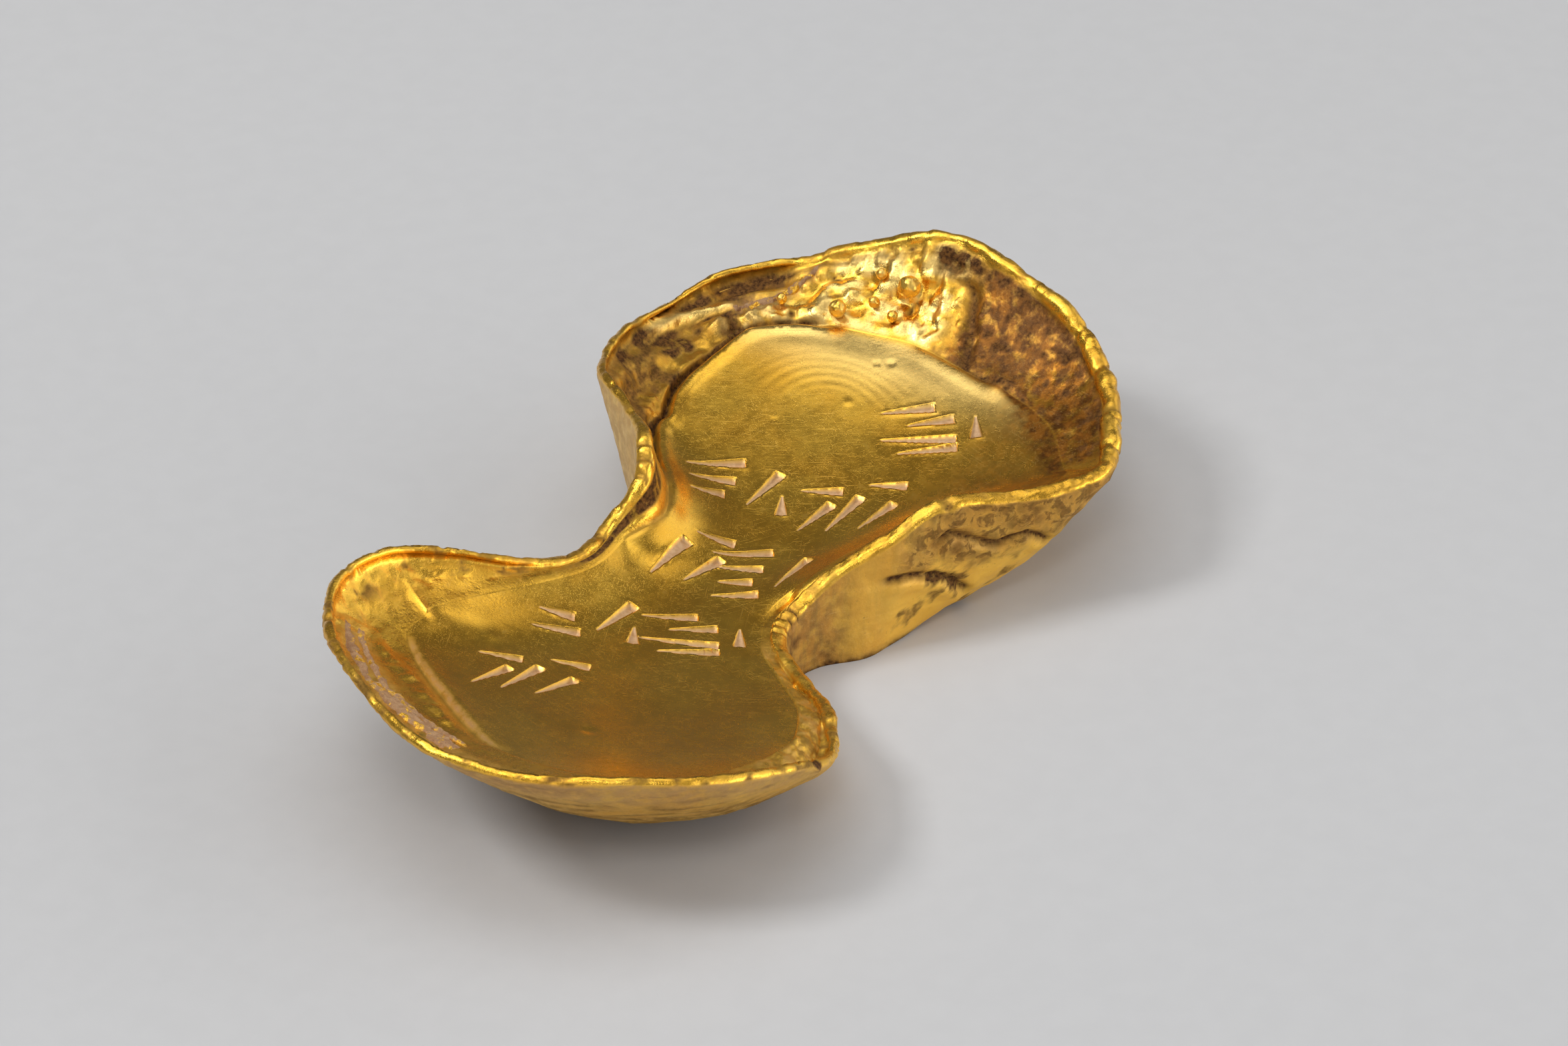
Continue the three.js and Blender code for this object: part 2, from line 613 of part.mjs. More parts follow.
const pieces = [
  { name: 'cast_body', geometry: toGeometry(body), material: GOLD },
  { name: 'gutter_crust', geometry: crust(0.402, 0.478, 0.2, 0.72), material: DEPOSIT },
  { name: 'wall_crust', geometry: crust(0.052, 0.074, 0.1, 0.45), material: DEPOSIT },
];
drops.forEach((d, i) => {
  const geometry = drop(d.turn, d.share, d.size * DROP_RADIUS);
  pieces.push({ name: `prill_${i + 1}`, geometry, material: DROP_GOLD });
});

// The origin is under the middle of the whole outline, on the table.
pieces[0].geometry.computeBoundingBox();
const middle = pieces[0].geometry.boundingBox.getCenter(new THREE.Vector3());
const group = new THREE.Group();
for (const piece of pieces) {
  piece.geometry.translate(-middle.x, -middle.y, 0);
  const mesh = new THREE.Mesh(piece.geometry, piece.material.clone());
  mesh.name = piece.name;
  group.add(mesh);
}

export default group;
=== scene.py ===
import math
import bpy
import numpy as np
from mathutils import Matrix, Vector, noise
from mathutils.geometry import delaunay_2d_cdt


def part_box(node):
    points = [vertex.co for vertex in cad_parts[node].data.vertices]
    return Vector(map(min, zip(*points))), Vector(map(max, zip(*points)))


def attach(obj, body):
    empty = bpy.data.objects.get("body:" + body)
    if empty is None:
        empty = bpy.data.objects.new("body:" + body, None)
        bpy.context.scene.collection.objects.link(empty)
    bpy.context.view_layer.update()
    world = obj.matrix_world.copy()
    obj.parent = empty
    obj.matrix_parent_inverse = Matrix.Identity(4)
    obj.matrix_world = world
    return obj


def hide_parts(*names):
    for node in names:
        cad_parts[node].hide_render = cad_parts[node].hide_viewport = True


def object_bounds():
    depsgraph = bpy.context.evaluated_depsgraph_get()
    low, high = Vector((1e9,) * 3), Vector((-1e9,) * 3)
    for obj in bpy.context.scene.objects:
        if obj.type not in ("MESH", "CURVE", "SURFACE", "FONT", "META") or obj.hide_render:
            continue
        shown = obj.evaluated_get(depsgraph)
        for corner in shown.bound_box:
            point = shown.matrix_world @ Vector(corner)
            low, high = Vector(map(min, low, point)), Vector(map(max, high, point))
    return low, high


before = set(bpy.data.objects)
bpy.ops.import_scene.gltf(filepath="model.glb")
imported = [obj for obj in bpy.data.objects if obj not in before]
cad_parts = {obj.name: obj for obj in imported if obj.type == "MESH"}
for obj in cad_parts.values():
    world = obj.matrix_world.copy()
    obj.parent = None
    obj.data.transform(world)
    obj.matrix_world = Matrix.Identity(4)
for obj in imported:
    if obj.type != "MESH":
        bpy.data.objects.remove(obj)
cad_low, cad_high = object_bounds()

# The solid's sizes in millimetres, as the frame has them
FAR_REACH, NEAR_REACH = 47.5, 46.2
FAR_LEFT_WIDTH, FAR_RIGHT_WIDTH = 24.2, 25.7
NEAR_LEFT_WIDTH, NEAR_RIGHT_WIDTH = 24, 22.8
WAIST_LEFT_WIDTH, WAIST_RIGHT_WIDTH = 11.6, 7.4
FAR_TIP_HEIGHT, FAR_LEFT_HEIGHT, FAR_RIGHT_HEIGHT = 19.8, 16, 12.8
NEAR_TIP_HEIGHT, NEAR_LEFT_HEIGHT, NEAR_RIGHT_HEIGHT = 16.2, 16.8, 10
WAIST_LEFT_HEIGHT, WAIST_RIGHT_HEIGHT = 11, 7.3
FOOT_REACH_SHARE, FOOT_WIDTH_SHARE, FOOT_WAIST_WIDTH = 0.6, 0.58, 8.4
RIM_THICKNESS, RIM_WAVE = 1.5, 0.22
WALL_BULGE, BELLY_BULGE, WALL_REACH_SHARE = 0.13, 0.1, 0.37
INNER_REACH_SHARE, INNER_DROP_SHARE = 0.45, 0.72
FLOOR_AT_WAIST, FAR_FLOOR_RISE, NEAR_FLOOR_RISE = 7, 7.6, 8.4
LEFT_DISH, RIGHT_DISH, FLOOR_TILT = 0.8, 3, 0.085
GUTTER_DEPTH = 0.45
CUT_LENGTH, CUT_WIDTH, CUT_DEPTH, CUT_PITCH = 8, 1.25, 0.55, 2.1
CUT_POINT_WIDTH = 0.12
TALLY_TURN = -62
TURN_PROBE = 0.003
CENTRE_Y = (WAIST_LEFT_WIDTH - WAIST_RIGHT_WIDTH) / 2

# The middle of the whole outline, which the frame has at its origin
MIDDLE = np.array([0.7136, -0.6642, 0.0])
MM = 0.001

# How finely the casting is built: steps round it, up each wall, and over the floor in millimetres
TURN_STEPS = 780
WALL_SHARES = np.r_[np.linspace(0, 0.3, 9), np.linspace(0.3, 0.9, 35)[1:], np.linspace(0.9, 1, 6)[1:]]
RIM_STEPS = 8
INNER_STEPS = 26
FLOOR_PITCH = 0.38
EDGE_OFFSETS = (0.2, 0.42, 0.68, 1.0)

# The parts of the casting's skin
FOOT, OUTER, RIM, INNER, BORDER, FLOOR = range(6)


def between(low, high, share):
    return low + (high - low) * share


def lobe(reach, width, low, high, rows):
    """Stations of a lobe, from shares of its reach, width and rise, with the inset of the floor's edge."""
    return [(along * reach, across * width, between(low, high, rise), along * reach * FOOT_REACH_SHARE,
             across * width * FOOT_WIDTH_SHARE, inset) for along, across, rise, inset in rows]


def flank(low, high, rows):
    """Stations of a flank, from rim place, rise, the foot's share and place, and the inset."""
    return [(x, y, between(low, high, rise), x * share, foot_y, inset) for x, y, rise, share, foot_y, inset in rows]


# The outline's stations: rim place and height, foot place, inset of the floor's edge
STATIONS = np.array([
    *lobe(FAR_REACH, FAR_LEFT_WIDTH, FAR_LEFT_HEIGHT, FAR_TIP_HEIGHT, (
        (1, 0, 1, 8.6), (0.975, 0.31, 0.6, 8.2), (0.91, 0.65, -0.08, 7), (0.8, 0.89, -0.3, 6.4),
        (0.65, 0.99, -0.56, 6.4), (0.47, 0.99, -0.24, 5.6), (0.335, 0.91, 0.02, 5.4))),
    *flank(FAR_LEFT_HEIGHT, FAR_TIP_HEIGHT, ((11.2, 16.6, 0.18, 0.55, 12.4, 2.6), (6.2, 11.9, 0.22, 0.5, 10.6, 2.1))),
    *flank(WAIST_LEFT_HEIGHT, FAR_LEFT_HEIGHT, ((2.6, 10.4, 0.8, 0.5, 9.6, 1.9),)),
    *flank(0, WAIST_LEFT_HEIGHT, (
        (-1.2, WAIST_LEFT_WIDTH, 1.06, 0.5, 9.4, 1.8), (-6.2, WAIST_LEFT_WIDTH * 1.02, 1, 0.5, 9.8, 1.8))),
    *flank(WAIST_LEFT_HEIGHT, NEAR_LEFT_HEIGHT, ((-12.5, 15, 0.3, 0.54, 10.4, 2.4), (-16.7, 19.3, 0.6, 0.58, 11.8, 4))),
    *lobe(-NEAR_REACH, NEAR_LEFT_WIDTH, WAIST_LEFT_HEIGHT, NEAR_LEFT_HEIGHT, ((0.46, 0.96, 0.9, 5.6),)),
    *lobe(-NEAR_REACH, NEAR_LEFT_WIDTH, NEAR_LEFT_HEIGHT, NEAR_TIP_HEIGHT, (
        (0.6, 1, 0, 6.2), (0.735, 0.9, -0.2, 7.2), (0.86, 0.66, -0.2, 8), (0.95, 0.37, 0.5, 7.4), (1, 0.08, 1, 6.2))),
    *lobe(-NEAR_REACH, NEAR_RIGHT_WIDTH, NEAR_RIGHT_HEIGHT, NEAR_TIP_HEIGHT, (
        (0.98, -0.25, 1, 5.2), (0.9, -0.6, 0.92, 4.2), (0.77, -0.86, 0.72, 4), (0.6, -0.98, 0.25, 3.8),
        (0.46, -0.98, -0.1, 3.4))),
    *lobe(-NEAR_REACH, NEAR_RIGHT_WIDTH, WAIST_RIGHT_HEIGHT, NEAR_RIGHT_HEIGHT, ((0.335, -0.83, 0.45, 2.6),)),
    *flank(0, WAIST_RIGHT_HEIGHT, (
        (-10.4, -13.9, 1, 0.55, -10.6, 2), (-5.6, -8.8, 0.92, 0.5, -8.6, 1.7),
        (-1.6, -WAIST_RIGHT_WIDTH, 1, 0.5, -FOOT_WAIST_WIDTH, 1.6), (2.4, -8.5, 1.18, 0.6, -9.3, 1.6))),
    *flank(WAIST_RIGHT_HEIGHT, FAR_RIGHT_HEIGHT, ((7.4, -12.4, 0.75, 0.62, -12.2, 1.7),)),
    *flank(FAR_RIGHT_HEIGHT, FAR_TIP_HEIGHT, ((12.2, -15.8, 0.1, 0.6, -13.2, 2), (17.4, -19.5, 0.1, 0.6, -13.9, 2.6))),
    *lobe(FAR_REACH, FAR_RIGHT_WIDTH, FAR_RIGHT_HEIGHT, FAR_TIP_HEIGHT, (
        (0.47, -0.93, 0.02, 3.2), (0.58, -1, 0, 3.9), (0.7, -0.91, 0.06, 5), (0.81, -0.785, 0.28, 6.4),
        (0.9, -0.61, 0.58, 7.6), (0.962, -0.35, 0.86, 8.2))),
])


def closed_curve(points, turns, centripetal=True):
    """Points on a closed smooth curve through the given points."""
    count = len(points)
    place = np.mod(turns, 1.0) * count
    first = np.floor(place).astype(int) % count
    weight = (place - np.floor(place))[:, None]
    p0, p1, p2, p3 = (points[(first + k) % count] for k in (-1, 0, 1, 2))
    if centripetal:
        gaps = [((b - a) ** 2).sum(1)[:, None] ** 0.25 for a, b in ((p0, p1), (p1, p2), (p2, p3))]
        d0, d1, d2 = gaps
        t1 = ((p1 - p0) / d0 - (p2 - p0) / (d0 + d1) + (p2 - p1) / d1) * d1
        t2 = ((p2 - p1) / d1 - (p3 - p1) / (d1 + d2) + (p3 - p2) / d2) * d1
    else:
        t1, t2 = 0.5 * (p2 - p0), 0.5 * (p3 - p1)
    c2 = -3 * p1 + 3 * p2 - 2 * t1 - t2
    c3 = 2 * p1 - 2 * p2 + t1 + t2
    return p1 + t1 * weight + c2 * weight ** 2 + c3 * weight ** 3


def smooth(value):
    """A soft step from 0 to 1."""
    value = np.clip(value, 0, 1)
    return value * value * (3 - 2 * value)


def hump(away, width):
    """1 at no distance, falling to nothing over a few widths."""
    return np.exp(-(away / width) ** 2)


def turns_after(turns, start):
    """How far turns of the outline lie after a given one, the short way round."""
    return np.mod(turns - start + 0.5, 1.0) - 0.5


def stretch(turn, start, end, fade):
    """1 well inside a stretch of the outline and 0 outside it."""
    return smooth(np.minimum(turn - start, end - turn) / fade)


def around(turn, start, end, fade):
    """The same for a stretch that runs over the far tip, where the turn starts again."""
    return stretch(np.mod(turn - start, 1.0), 0, np.mod(end - start, 1.0), fade)


def floor_height(x, y):
    """Height of the plain floor."""
    along = np.where(x > 0, x / FAR_REACH, x / NEAR_REACH)
    rise = np.where(x > 0, FAR_FLOOR_RISE, NEAR_FLOOR_RISE)
    across = (y - CENTRE_Y) / FAR_LEFT_WIDTH
    dish = np.where(across > 0, LEFT_DISH, RIGHT_DISH)
    return FLOOR_AT_WAIST + rise * along ** 2 + dish * across ** 2 + FLOOR_TILT * (y - CENTRE_Y)


class Outline:
    """Rim centre, outward direction, foot, floor edge and belly at each turn."""

    def __init__(self, turns):
        turns = np.asarray(turns, float)
        self.turns = turns
        rim_points = STATIONS[:, 0:3]
        foot_points = np.c_[STATIONS[:, 3:5], np.zeros(len(STATIONS))]
        ahead = closed_curve(rim_points, turns + TURN_PROBE)
        behind = closed_curve(rim_points, turns - TURN_PROBE)
        out = np.c_[ahead[:, 1] - behind[:, 1], behind[:, 0] - ahead[:, 0], np.zeros(len(turns))]
        self.out = out / np.linalg.norm(out, axis=1, keepdims=True)
        angle = turns * 2 * np.pi
        side = np.sin(angle * 11 + 0.7) + 0.6 * np.sin(angle * 23 + 2.1)
        lift = np.sin(angle * 9 + 1.3) + 0.7 * np.sin(angle * 19 + 0.4)
        self.rim = closed_curve(rim_points, turns) + self.out * (side * RIM_WAVE * 0.5)[:, None]
        self.rim[:, 2] += lift * RIM_WAVE
        numbered = np.c_[np.arange(len(STATIONS)), STATIONS[:, 5]]
        inset = closed_curve(numbered, turns, centripetal=False)[:, 1]
        self.edge = self.rim - self.out * inset[:, None]
        depth = GUTTER_DEPTH * (stretch(turns, 0.03, 0.235, 0.04) + stretch(turns, 0.37, 0.5, 0.04))
        self.edge[:, 2] = floor_height(self.edge[:, 0], self.edge[:, 1]) - depth
        self.foot = closed_curve(foot_points, turns)
        full = stretch(turns, 0.48, 0.66, 0.06) + stretch(turns, 0.76, 0.94, 0.07)
        self.bulge = WALL_BULGE + BELLY_BULGE * (full - 0.5 * stretch(turns, 0.36, 0.5, 0.06))

    def bend(self, start, control, end, share):
        share = np.broadcast_to(share, len(self.turns))[:, None]
        return (1 - share) ** 2 * start + 2 * share * (1 - share) * control + share ** 2 * end

    def outer(self, share):
        top = self.rim + self.out * RIM_THICKNESS / 2
        top[:, 2] -= RIM_THICKNESS / 2
        reach = (WALL_REACH_SHARE + self.bulge)[:, None]
        control = self.foot + (top - self.foot) * reach
        control[:, 2] = top[:, 2] * (0.5 - self.bulge)
        return self.bend(self.foot, control, top, share)

    def inner(self, share):
        top = self.rim - self.out * RIM_THICKNESS / 2
        top[:, 2] -= RIM_THICKNESS / 2
        control = top + (self.edge - top) * INNER_REACH_SHARE
        control[:, 2] = between(top[:, 2], self.edge[:, 2], INNER_DROP_SHARE)
        return self.bend(top, control, self.edge, share)

    def lip(self, share):
        angle = np.pi * share[:, None]
        point = self.rim + self.out * np.cos(angle) * RIM_THICKNESS / 2
        point[:, 2] += (np.sin(angle[:, 0]) - 1) * RIM_THICKNESS / 2
        return point


def inner_place(turn, share):
    """A place on the inner wall."""
    return Outline(np.array([turn]) % 1.0).inner(share)[0]


def lumps(points, size, octaves=3, seed=0):
    """Uneven noise between about -1 and 1 at places in millimetres."""
    shift = Vector((seed * 7.31, seed * 3.17, seed * 5.73))
    return np.array([noise.fractal(Vector(p) / size + shift, 0.8, 2.1, octaves) for p in points])


def pebbles(points, size, seed=0):
    """Rounded lumps with creases between them, 0 in the creases to 1 on the tops."""
    shift = Vector((seed * 4.13, seed * 6.71, seed * 2.93))
    near = np.array([noise.voronoi(Vector(p) / size + shift)[0][0] for p in points])
    return np.clip(1 - (near * 1.25) ** 2, 0, 1)


# ---- the tally cuts ----

FIELDS = (
    (0.6, -0.36, "rows"), (0.34, -0.27, "fan"), (0.06, -0.17, "mixed"), (-0.21, -0.15, "rows"),
    (0.28, 0.2, "mixed"), (0.02, 0.17, "fan"), (-0.27, 0.26, "mixed"), (-0.54, 0.2, "fan"),
)
PATTERNS = {
    "rows": ((-2.2, -1.6, 4, 0.7), (-1, -0.7, 7, 0.62), (-2.4, 0.1, -4, 1), (-1.6, 1.1, 3, 0.8),
             (2.3, -1.2, -90, 0.42)),
    "fan": ((-2.3, 1.7, 50, 0.7), (-1.1, 1.9, 56, 0.85), (0.4, 1.8, 47, 0.7), (-2.2, -1.3, -3, 0.55),
            (0.9, -1.6, -8, 0.5)),
    "mixed": ((-2.3, -1.5, 6, 0.8), (-2, -0.6, -2, 0.6), (0.6, 1.3, 55, 0.8), (-2.2, 1.6, 3, 0.6),
              (-1.9, 0.5, 0, 0.45), (2.4, 0.2, -92, 0.4)),
}


def room_at(x, y, outline):
    """How far a place lies inside the outline, negative outside it."""
    after = np.roll(outline, -1, axis=0)
    crossing = (outline[:, 1] > y) != (after[:, 1] > y)
    slope = np.where(crossing, after[:, 1] - outline[:, 1], 1)
    cross_x = outline[:, 0] + (after[:, 0] - outline[:, 0]) * (y - outline[:, 1]) / slope
    inside = np.count_nonzero(crossing & (x < cross_x)) % 2 == 1
    nearest = np.hypot(outline[:, 0] - x, outline[:, 1] - y).min()
    return nearest if inside else -nearest


def tally_cuts():
    """Start, heading and length of each wedge cut that stays clear of the walls."""
    outline = Outline(np.arange(234) / 234).edge
    across = math.radians(TALLY_TURN)
    down = across - math.pi / 2
    cuts = []
    for along, sideways, pattern in FIELDS:
        x = along * (FAR_REACH if along > 0 else NEAR_REACH)
        y = CENTRE_Y + sideways * (NEAR_LEFT_WIDTH if sideways > 0 else NEAR_RIGHT_WIDTH)
        for u, v, turn, share in PATTERNS[pattern]:
            start_x = x + (math.cos(across) * u + math.cos(down) * v) * CUT_PITCH
            start_y = y + (math.sin(across) * u + math.sin(down) * v) * CUT_PITCH
            heading = across + math.radians(turn)
            length = share * CUT_LENGTH
            end = (start_x + math.cos(heading) * length, start_y + math.sin(heading) * length)
            if min(room_at(start_x, start_y, outline), room_at(*end, outline)) > CUT_WIDTH:
                cuts.append((start_x, start_y, heading, length))
    return cuts


CUT_WALL = 0.08
BURR_HEIGHT = 0.06
BURR_WIDTH = 0.17


def cut_frame(cut, x, y):
    """Places along and beside a cut, and the cut's half width there."""
    start_x, start_y, heading, length = cut
    dx, dy = x - start_x, y - start_y
    along = dx * math.cos(heading) + dy * math.sin(heading)
    aside = -dx * math.sin(heading) + dy * math.cos(heading)
    half = between(CUT_POINT_WIDTH / 2, CUT_WIDTH / 2, np.clip(along / length, 0, 1.1))
    return along, np.abs(aside), half


def cut_relief(cuts, x, y):
    """Height of the cuts and their burrs at places on the floor, and a mask of the cut metal."""
    height = np.zeros(len(x))
    mask = np.zeros(len(x))
    for cut in cuts:
        length = cut[3]
        near = np.hypot(x - cut[0], y - cut[1]) < length + 1.5
        along, aside, half = cut_frame(cut, x[near], y[near])
        inside = np.minimum(np.minimum(along, length - along), half - aside)
        depth = CUT_DEPTH * np.clip(along / length, 0, 1) ** 0.85
        sunk = np.clip(inside / CUT_WALL, 0, 1) * depth
        outside = np.hypot(np.maximum(np.maximum(-along, along - length), 0), np.maximum(aside - half, 0))
        burr = BURR_HEIGHT * hump(outside, BURR_WIDTH) * np.clip(depth / 0.2, 0, 1)
        height[near] += np.where(inside > 0, -sunk, burr)
        mask[near] = np.maximum(mask[near], np.clip(inside / (CUT_WALL * 0.5), 0, 1))
    return height, mask


def cut_loops(cut):
    """Closed loops of places that follow a cut: its bottom, its edge and its burr."""
    start_x, start_y, heading, length = cut
    loops = []
    for offset in (-CUT_WALL, 0, 0.15, 0.36):
        begin, end = -max(offset, 0), length + offset
        slope = (CUT_WIDTH - CUT_POINT_WIDTH) / 2 / length
        if offset < 0:
            begin = (CUT_WALL + 0.05 - CUT_POINT_WIDTH / 2) / slope
        steps = max(6, int((end - begin) / 0.32))
        along = np.linspace(begin, end, steps + 1)
        half = CUT_POINT_WIDTH / 2 + slope * np.clip(along, 0, length) + offset
        ends = np.linspace(-1, 1, 5)[1:-1]
        side = np.r_[-half, ends * half[-1], half[::-1]]
        run = np.r_[along, np.full(3, end), along[::-1]]
        x = start_x + run * math.cos(heading) - side * math.sin(heading)
        y = start_y + run * math.sin(heading) + side * math.cos(heading)
        loops.append(np.c_[x, y])
    return loops


# ---- relief of the floor ----

RIPPLE_CENTRE = (26.5, 3.5)
# The blister, smaller bumps and the pits: place, radius and height
FLOOR_SPOTS = (
    (37.6, -9.8, 1.2, 0.6), (29.5, 2.8, 0.32, 0.07), (-21.5, 12.0, 0.6, 0.1), (35.7, 1.4, 0.22, -0.2),
    (24.0, 7.9, 0.2, -0.12), (35.2, 2.6, 0.16, -0.14), (-30.5, -3.0, 0.5, -0.12),
)


def gutter_at(turns):
    """Strength of the crevice between the floor and the wall."""
    deep = stretch(turns, 0.03, 0.205, 0.022)
    thin = 0.3 * around(turns, 0.925, 0.008, 0.02)
    gap = 0.5 * stretch(turns, 0.185, 0.262, 0.02)
    return np.maximum(np.maximum(deep, thin), gap) + 0.3 * stretch(turns, 0.405, 0.485, 0.03)


# At turns of the outline: over what distance the floor sweeps up into the wall, how much its border
# is raised over the plain floor, and how wide that raised border is
SWEEPS = np.array([
    (0.0, 1.1, 0, 2), (0.015, 1.7, 0, 2), (0.038, 1.7, 0, 2), (0.052, 0.5, 0, 2), (0.16, 0.5, 0.3, 2),
    (0.185, 0.8, 0.8, 3.6), (0.2, 1.0, 1.3, 4.4), (0.225, 1.2, 1.3, 5), (0.245, 1.3, 1.3, 5), (0.27, 1.4, 1.1, 5),
    (0.3, 2.2, 0.8, 4.4), (0.34, 3.0, 0.5, 4), (0.38, 3.0, 0.1, 3), (0.42, 2.0, 0, 2), (0.48, 2.0, 0, 2),
    (0.52, 2.5, 0, 2), (0.6, 2.5, 0, 2), (0.64, 2.0, 0, 2), (0.68, 2.0, 0.3, 3), (0.74, 2.0, 0.6, 3.4),
    (0.8, 2.4, 0.6, 3.4), (0.86, 2.4, 0.3, 3.4), (0.92, 2.0, 0, 2), (0.95, 1.2, 0, 2), (1.0, 1.1, 0, 2),
])
EDGE_SOFTNESS = 0.3


def corner_slope(turns):
    """How much steeper the inner wall leaves the floor's edge than the floor meets it, and the edge's lean."""
    line = Outline(turns)
    top = line.rim - line.out * RIM_THICKNESS / 2
    climb = top[:, 2] - RIM_THICKNESS / 2 - line.edge[:, 2]
    run = np.linalg.norm((top - line.edge)[:, :2], axis=1)
    wall = climb / run * (1 - INNER_DROP_SHARE) / (1 - INNER_REACH_SHARE)
    out = line.edge + line.out * 0.1
    floor = (floor_height(out[:, 0], out[:, 1]) - floor_height(line.edge[:, 0], line.edge[:, 1])) / 0.1
    along = Outline((turns + TURN_PROBE) % 1.0).edge - Outline((turns - TURN_PROBE) % 1.0).edge
    across = np.abs(along[:, 1] * line.out[:, 0] - along[:, 0] * line.out[:, 1])
    lean = np.clip(across / np.linalg.norm(along[:, :2], axis=1), 0.3, 1)
    return np.clip((wall - floor) / lean, -0.5, 2.5), lean


FIELD_TURNS = np.arange(391) / 390
SLOPES, LEANS = corner_slope(FIELD_TURNS % 1.0)


def edge_fields(turns):
    """Slope change, sweep, raised height, its width, gutter strength and lean at turns of the edge."""
    fields = [np.interp(turns, FIELD_TURNS, SLOPES)]
    fields += [np.interp(turns, SWEEPS[:, 0], SWEEPS[:, k]) for k in (1, 2, 3)]
    return np.stack(fields + [gutter_at(turns), np.interp(turns, FIELD_TURNS, LEANS)], 1)


def sweep_at(fields, off_edge):
    """Height that rounds out the corner between the floor and the wall."""
    slope, reach, raised, width = fields[:, 0], fields[:, 1], fields[:, 2], fields[:, 3]
    rounding = slope * reach * np.log1p(np.exp(-np.abs(off_edge) / reach))
    return rounding + raised * hump(off_edge, width)


def softened_edge(places, edge, turns):
    """Distance to the edge and the edge's fields for places on the floor, without sudden changes."""
    angle = np.linspace(-6, 6, 2401)
    stretched = np.sqrt(1 + angle ** 2)
    weight = np.exp(-(stretched - 1) / EDGE_SOFTNESS)
    usual = (weight * stretched).sum() / weight.sum()
    fields = edge_fields(turns)
    distances, out = np.empty(len(places)), np.empty((len(places), fields.shape[1]))
    for start in range(0, len(places), 1500):
        part = slice(start, start + 1500)
        away = np.hypot(places[part, 0:1] - edge[None, :, 0], places[part, 1:2] - edge[None, :, 1])
        least = away.min(1, keepdims=True)
        weight = np.exp(-(away - least) / (EDGE_SOFTNESS * least + 0.01))
        weight /= weight.sum(1, keepdims=True)
        distances[part] = (weight * away).sum(1) / usual
        out[part] = weight @ fields
    return distances, out


def floor_relief(x, y, fields, off_edge):
    """Height over the plain floor, from its place and its distance to the floor's edge."""
    points = np.c_[x, y, np.zeros(len(x))]
    height = 0.09 * lumps(points, 13, 2, 1) + 0.012 * lumps(points, 3.6, 2, 2)
    height += np.where(off_edge > 0, sweep_at(fields, off_edge), 0)
    steeper = 0.024 * np.log1p(np.exp(np.minimum(x - 27.5, 50)))
    height += steeper * smooth(np.abs(off_edge) / 4) * smooth((y + 9) / 8)
    from_ripples = np.hypot((x - RIPPLE_CENTRE[0]) * 1.15, y - RIPPLE_CENTRE[1])
    ripple = np.sin(from_ripples * 2 * math.pi / 1.15 + 3.5 * lumps(points, 9, 2, 3))
    fading = smooth((from_ripples - 3) / 3) * smooth((12 - from_ripples) / 5) * smooth((x - 26) / 4)
    height += 0.01 * ripple * fading
    for spot_x, spot_y, radius, rise in FLOOR_SPOTS:
        height += rise * np.exp(-((x - spot_x) ** 2 + (y - spot_y) ** 2) / radius ** 2)
    wander = 0.12 * lumps(points, 2.5, 2, 4)
    groove, border = hump(off_edge - wander, 0.34), hump(off_edge - 1.2 - wander, 0.6)
    return height + fields[:, 4] * (-0.75 * groove + 0.2 * border)


# ---- relief of the walls and the rim ----

# Turn, share and radius of the knobs, and of the dimples with their depth
KNOBS = (
    (0.043, 0.17, 1.15), (0.048, 0.36, 1.0), (0.034, 0.1, 0.6), (0.009, 0.1, 0.9), (0.998, 0.4, 0.9),
    (0.996, 0.65, 0.85), (0.043, 0.62, 0.7), (0.031, 0.22, 0.6), (0.037, 0.5, 0.6), (0.029, 0.88, 0.7),
    (0.02, 0.2, 1.1), (0.006, 0.3, 0.8), (0.013, 0.85, 0.7), (0.05, 0.8, 0.7), (0.056, 0.78, 0.6),
    (0.064, 0.72, 0.5), (0.07, 0.8, 0.6), (0.99, 0.2, 0.6), (0.984, 0.45, 0.5), (0.038, 0.9, 0.8),
    (0.014, 0.42, 1.2), (0.037, 0.68, 1.15), (0.037, 0.48, 0.5), (0.026, 0.62, 0.5), (0.027, 0.7, 0.4),
    (0.019, 0.7, 0.5), (0.034, 0.12, 0.4), (0.03, 0.18, 0.45), (0.026, 0.26, 0.45), (0.01, 0.08, 0.7),
    (0.022, 0.55, 0.35), (0.0305, 0.6, 0.35), (0.002, 0.5, 0.5), (0.993, 0.44, 0.6), (0.9885, 0.6, 0.55),
    (0.984, 0.72, 0.6), (0.061, 0.54, 0.45), (0.073, 0.62, 0.45), (0.081, 0.66, 0.4),
)
DIMPLES = (
    (0.036, 0.74, 0.8, 0.5), (0.0105, 0.62, 0.8, 0.55), (0.028, 0.36, 0.6, 0.45), (0.002, 0.62, 0.55, 0.45),
    (0.345, 0.42, 0.5, 0.3), (0.34, 0.3, 0.45, 0.25), (0.33, 0.35, 0.35, 0.2), (0.318, 0.4, 0.4, 0.18),
)

# Courses of the cold shuts over the outer wall, as turns and shares
SHUTS = (
    ((0.795, 0.79), (0.802, 0.86), (0.815, 0.8), (0.828, 0.75), (0.839, 0.79), (0.852, 0.7), (0.864, 0.62)),
    ((0.771, 0.75), (0.782, 0.69), (0.796, 0.61), (0.809, 0.56), (0.823, 0.46), (0.838, 0.34)),
)


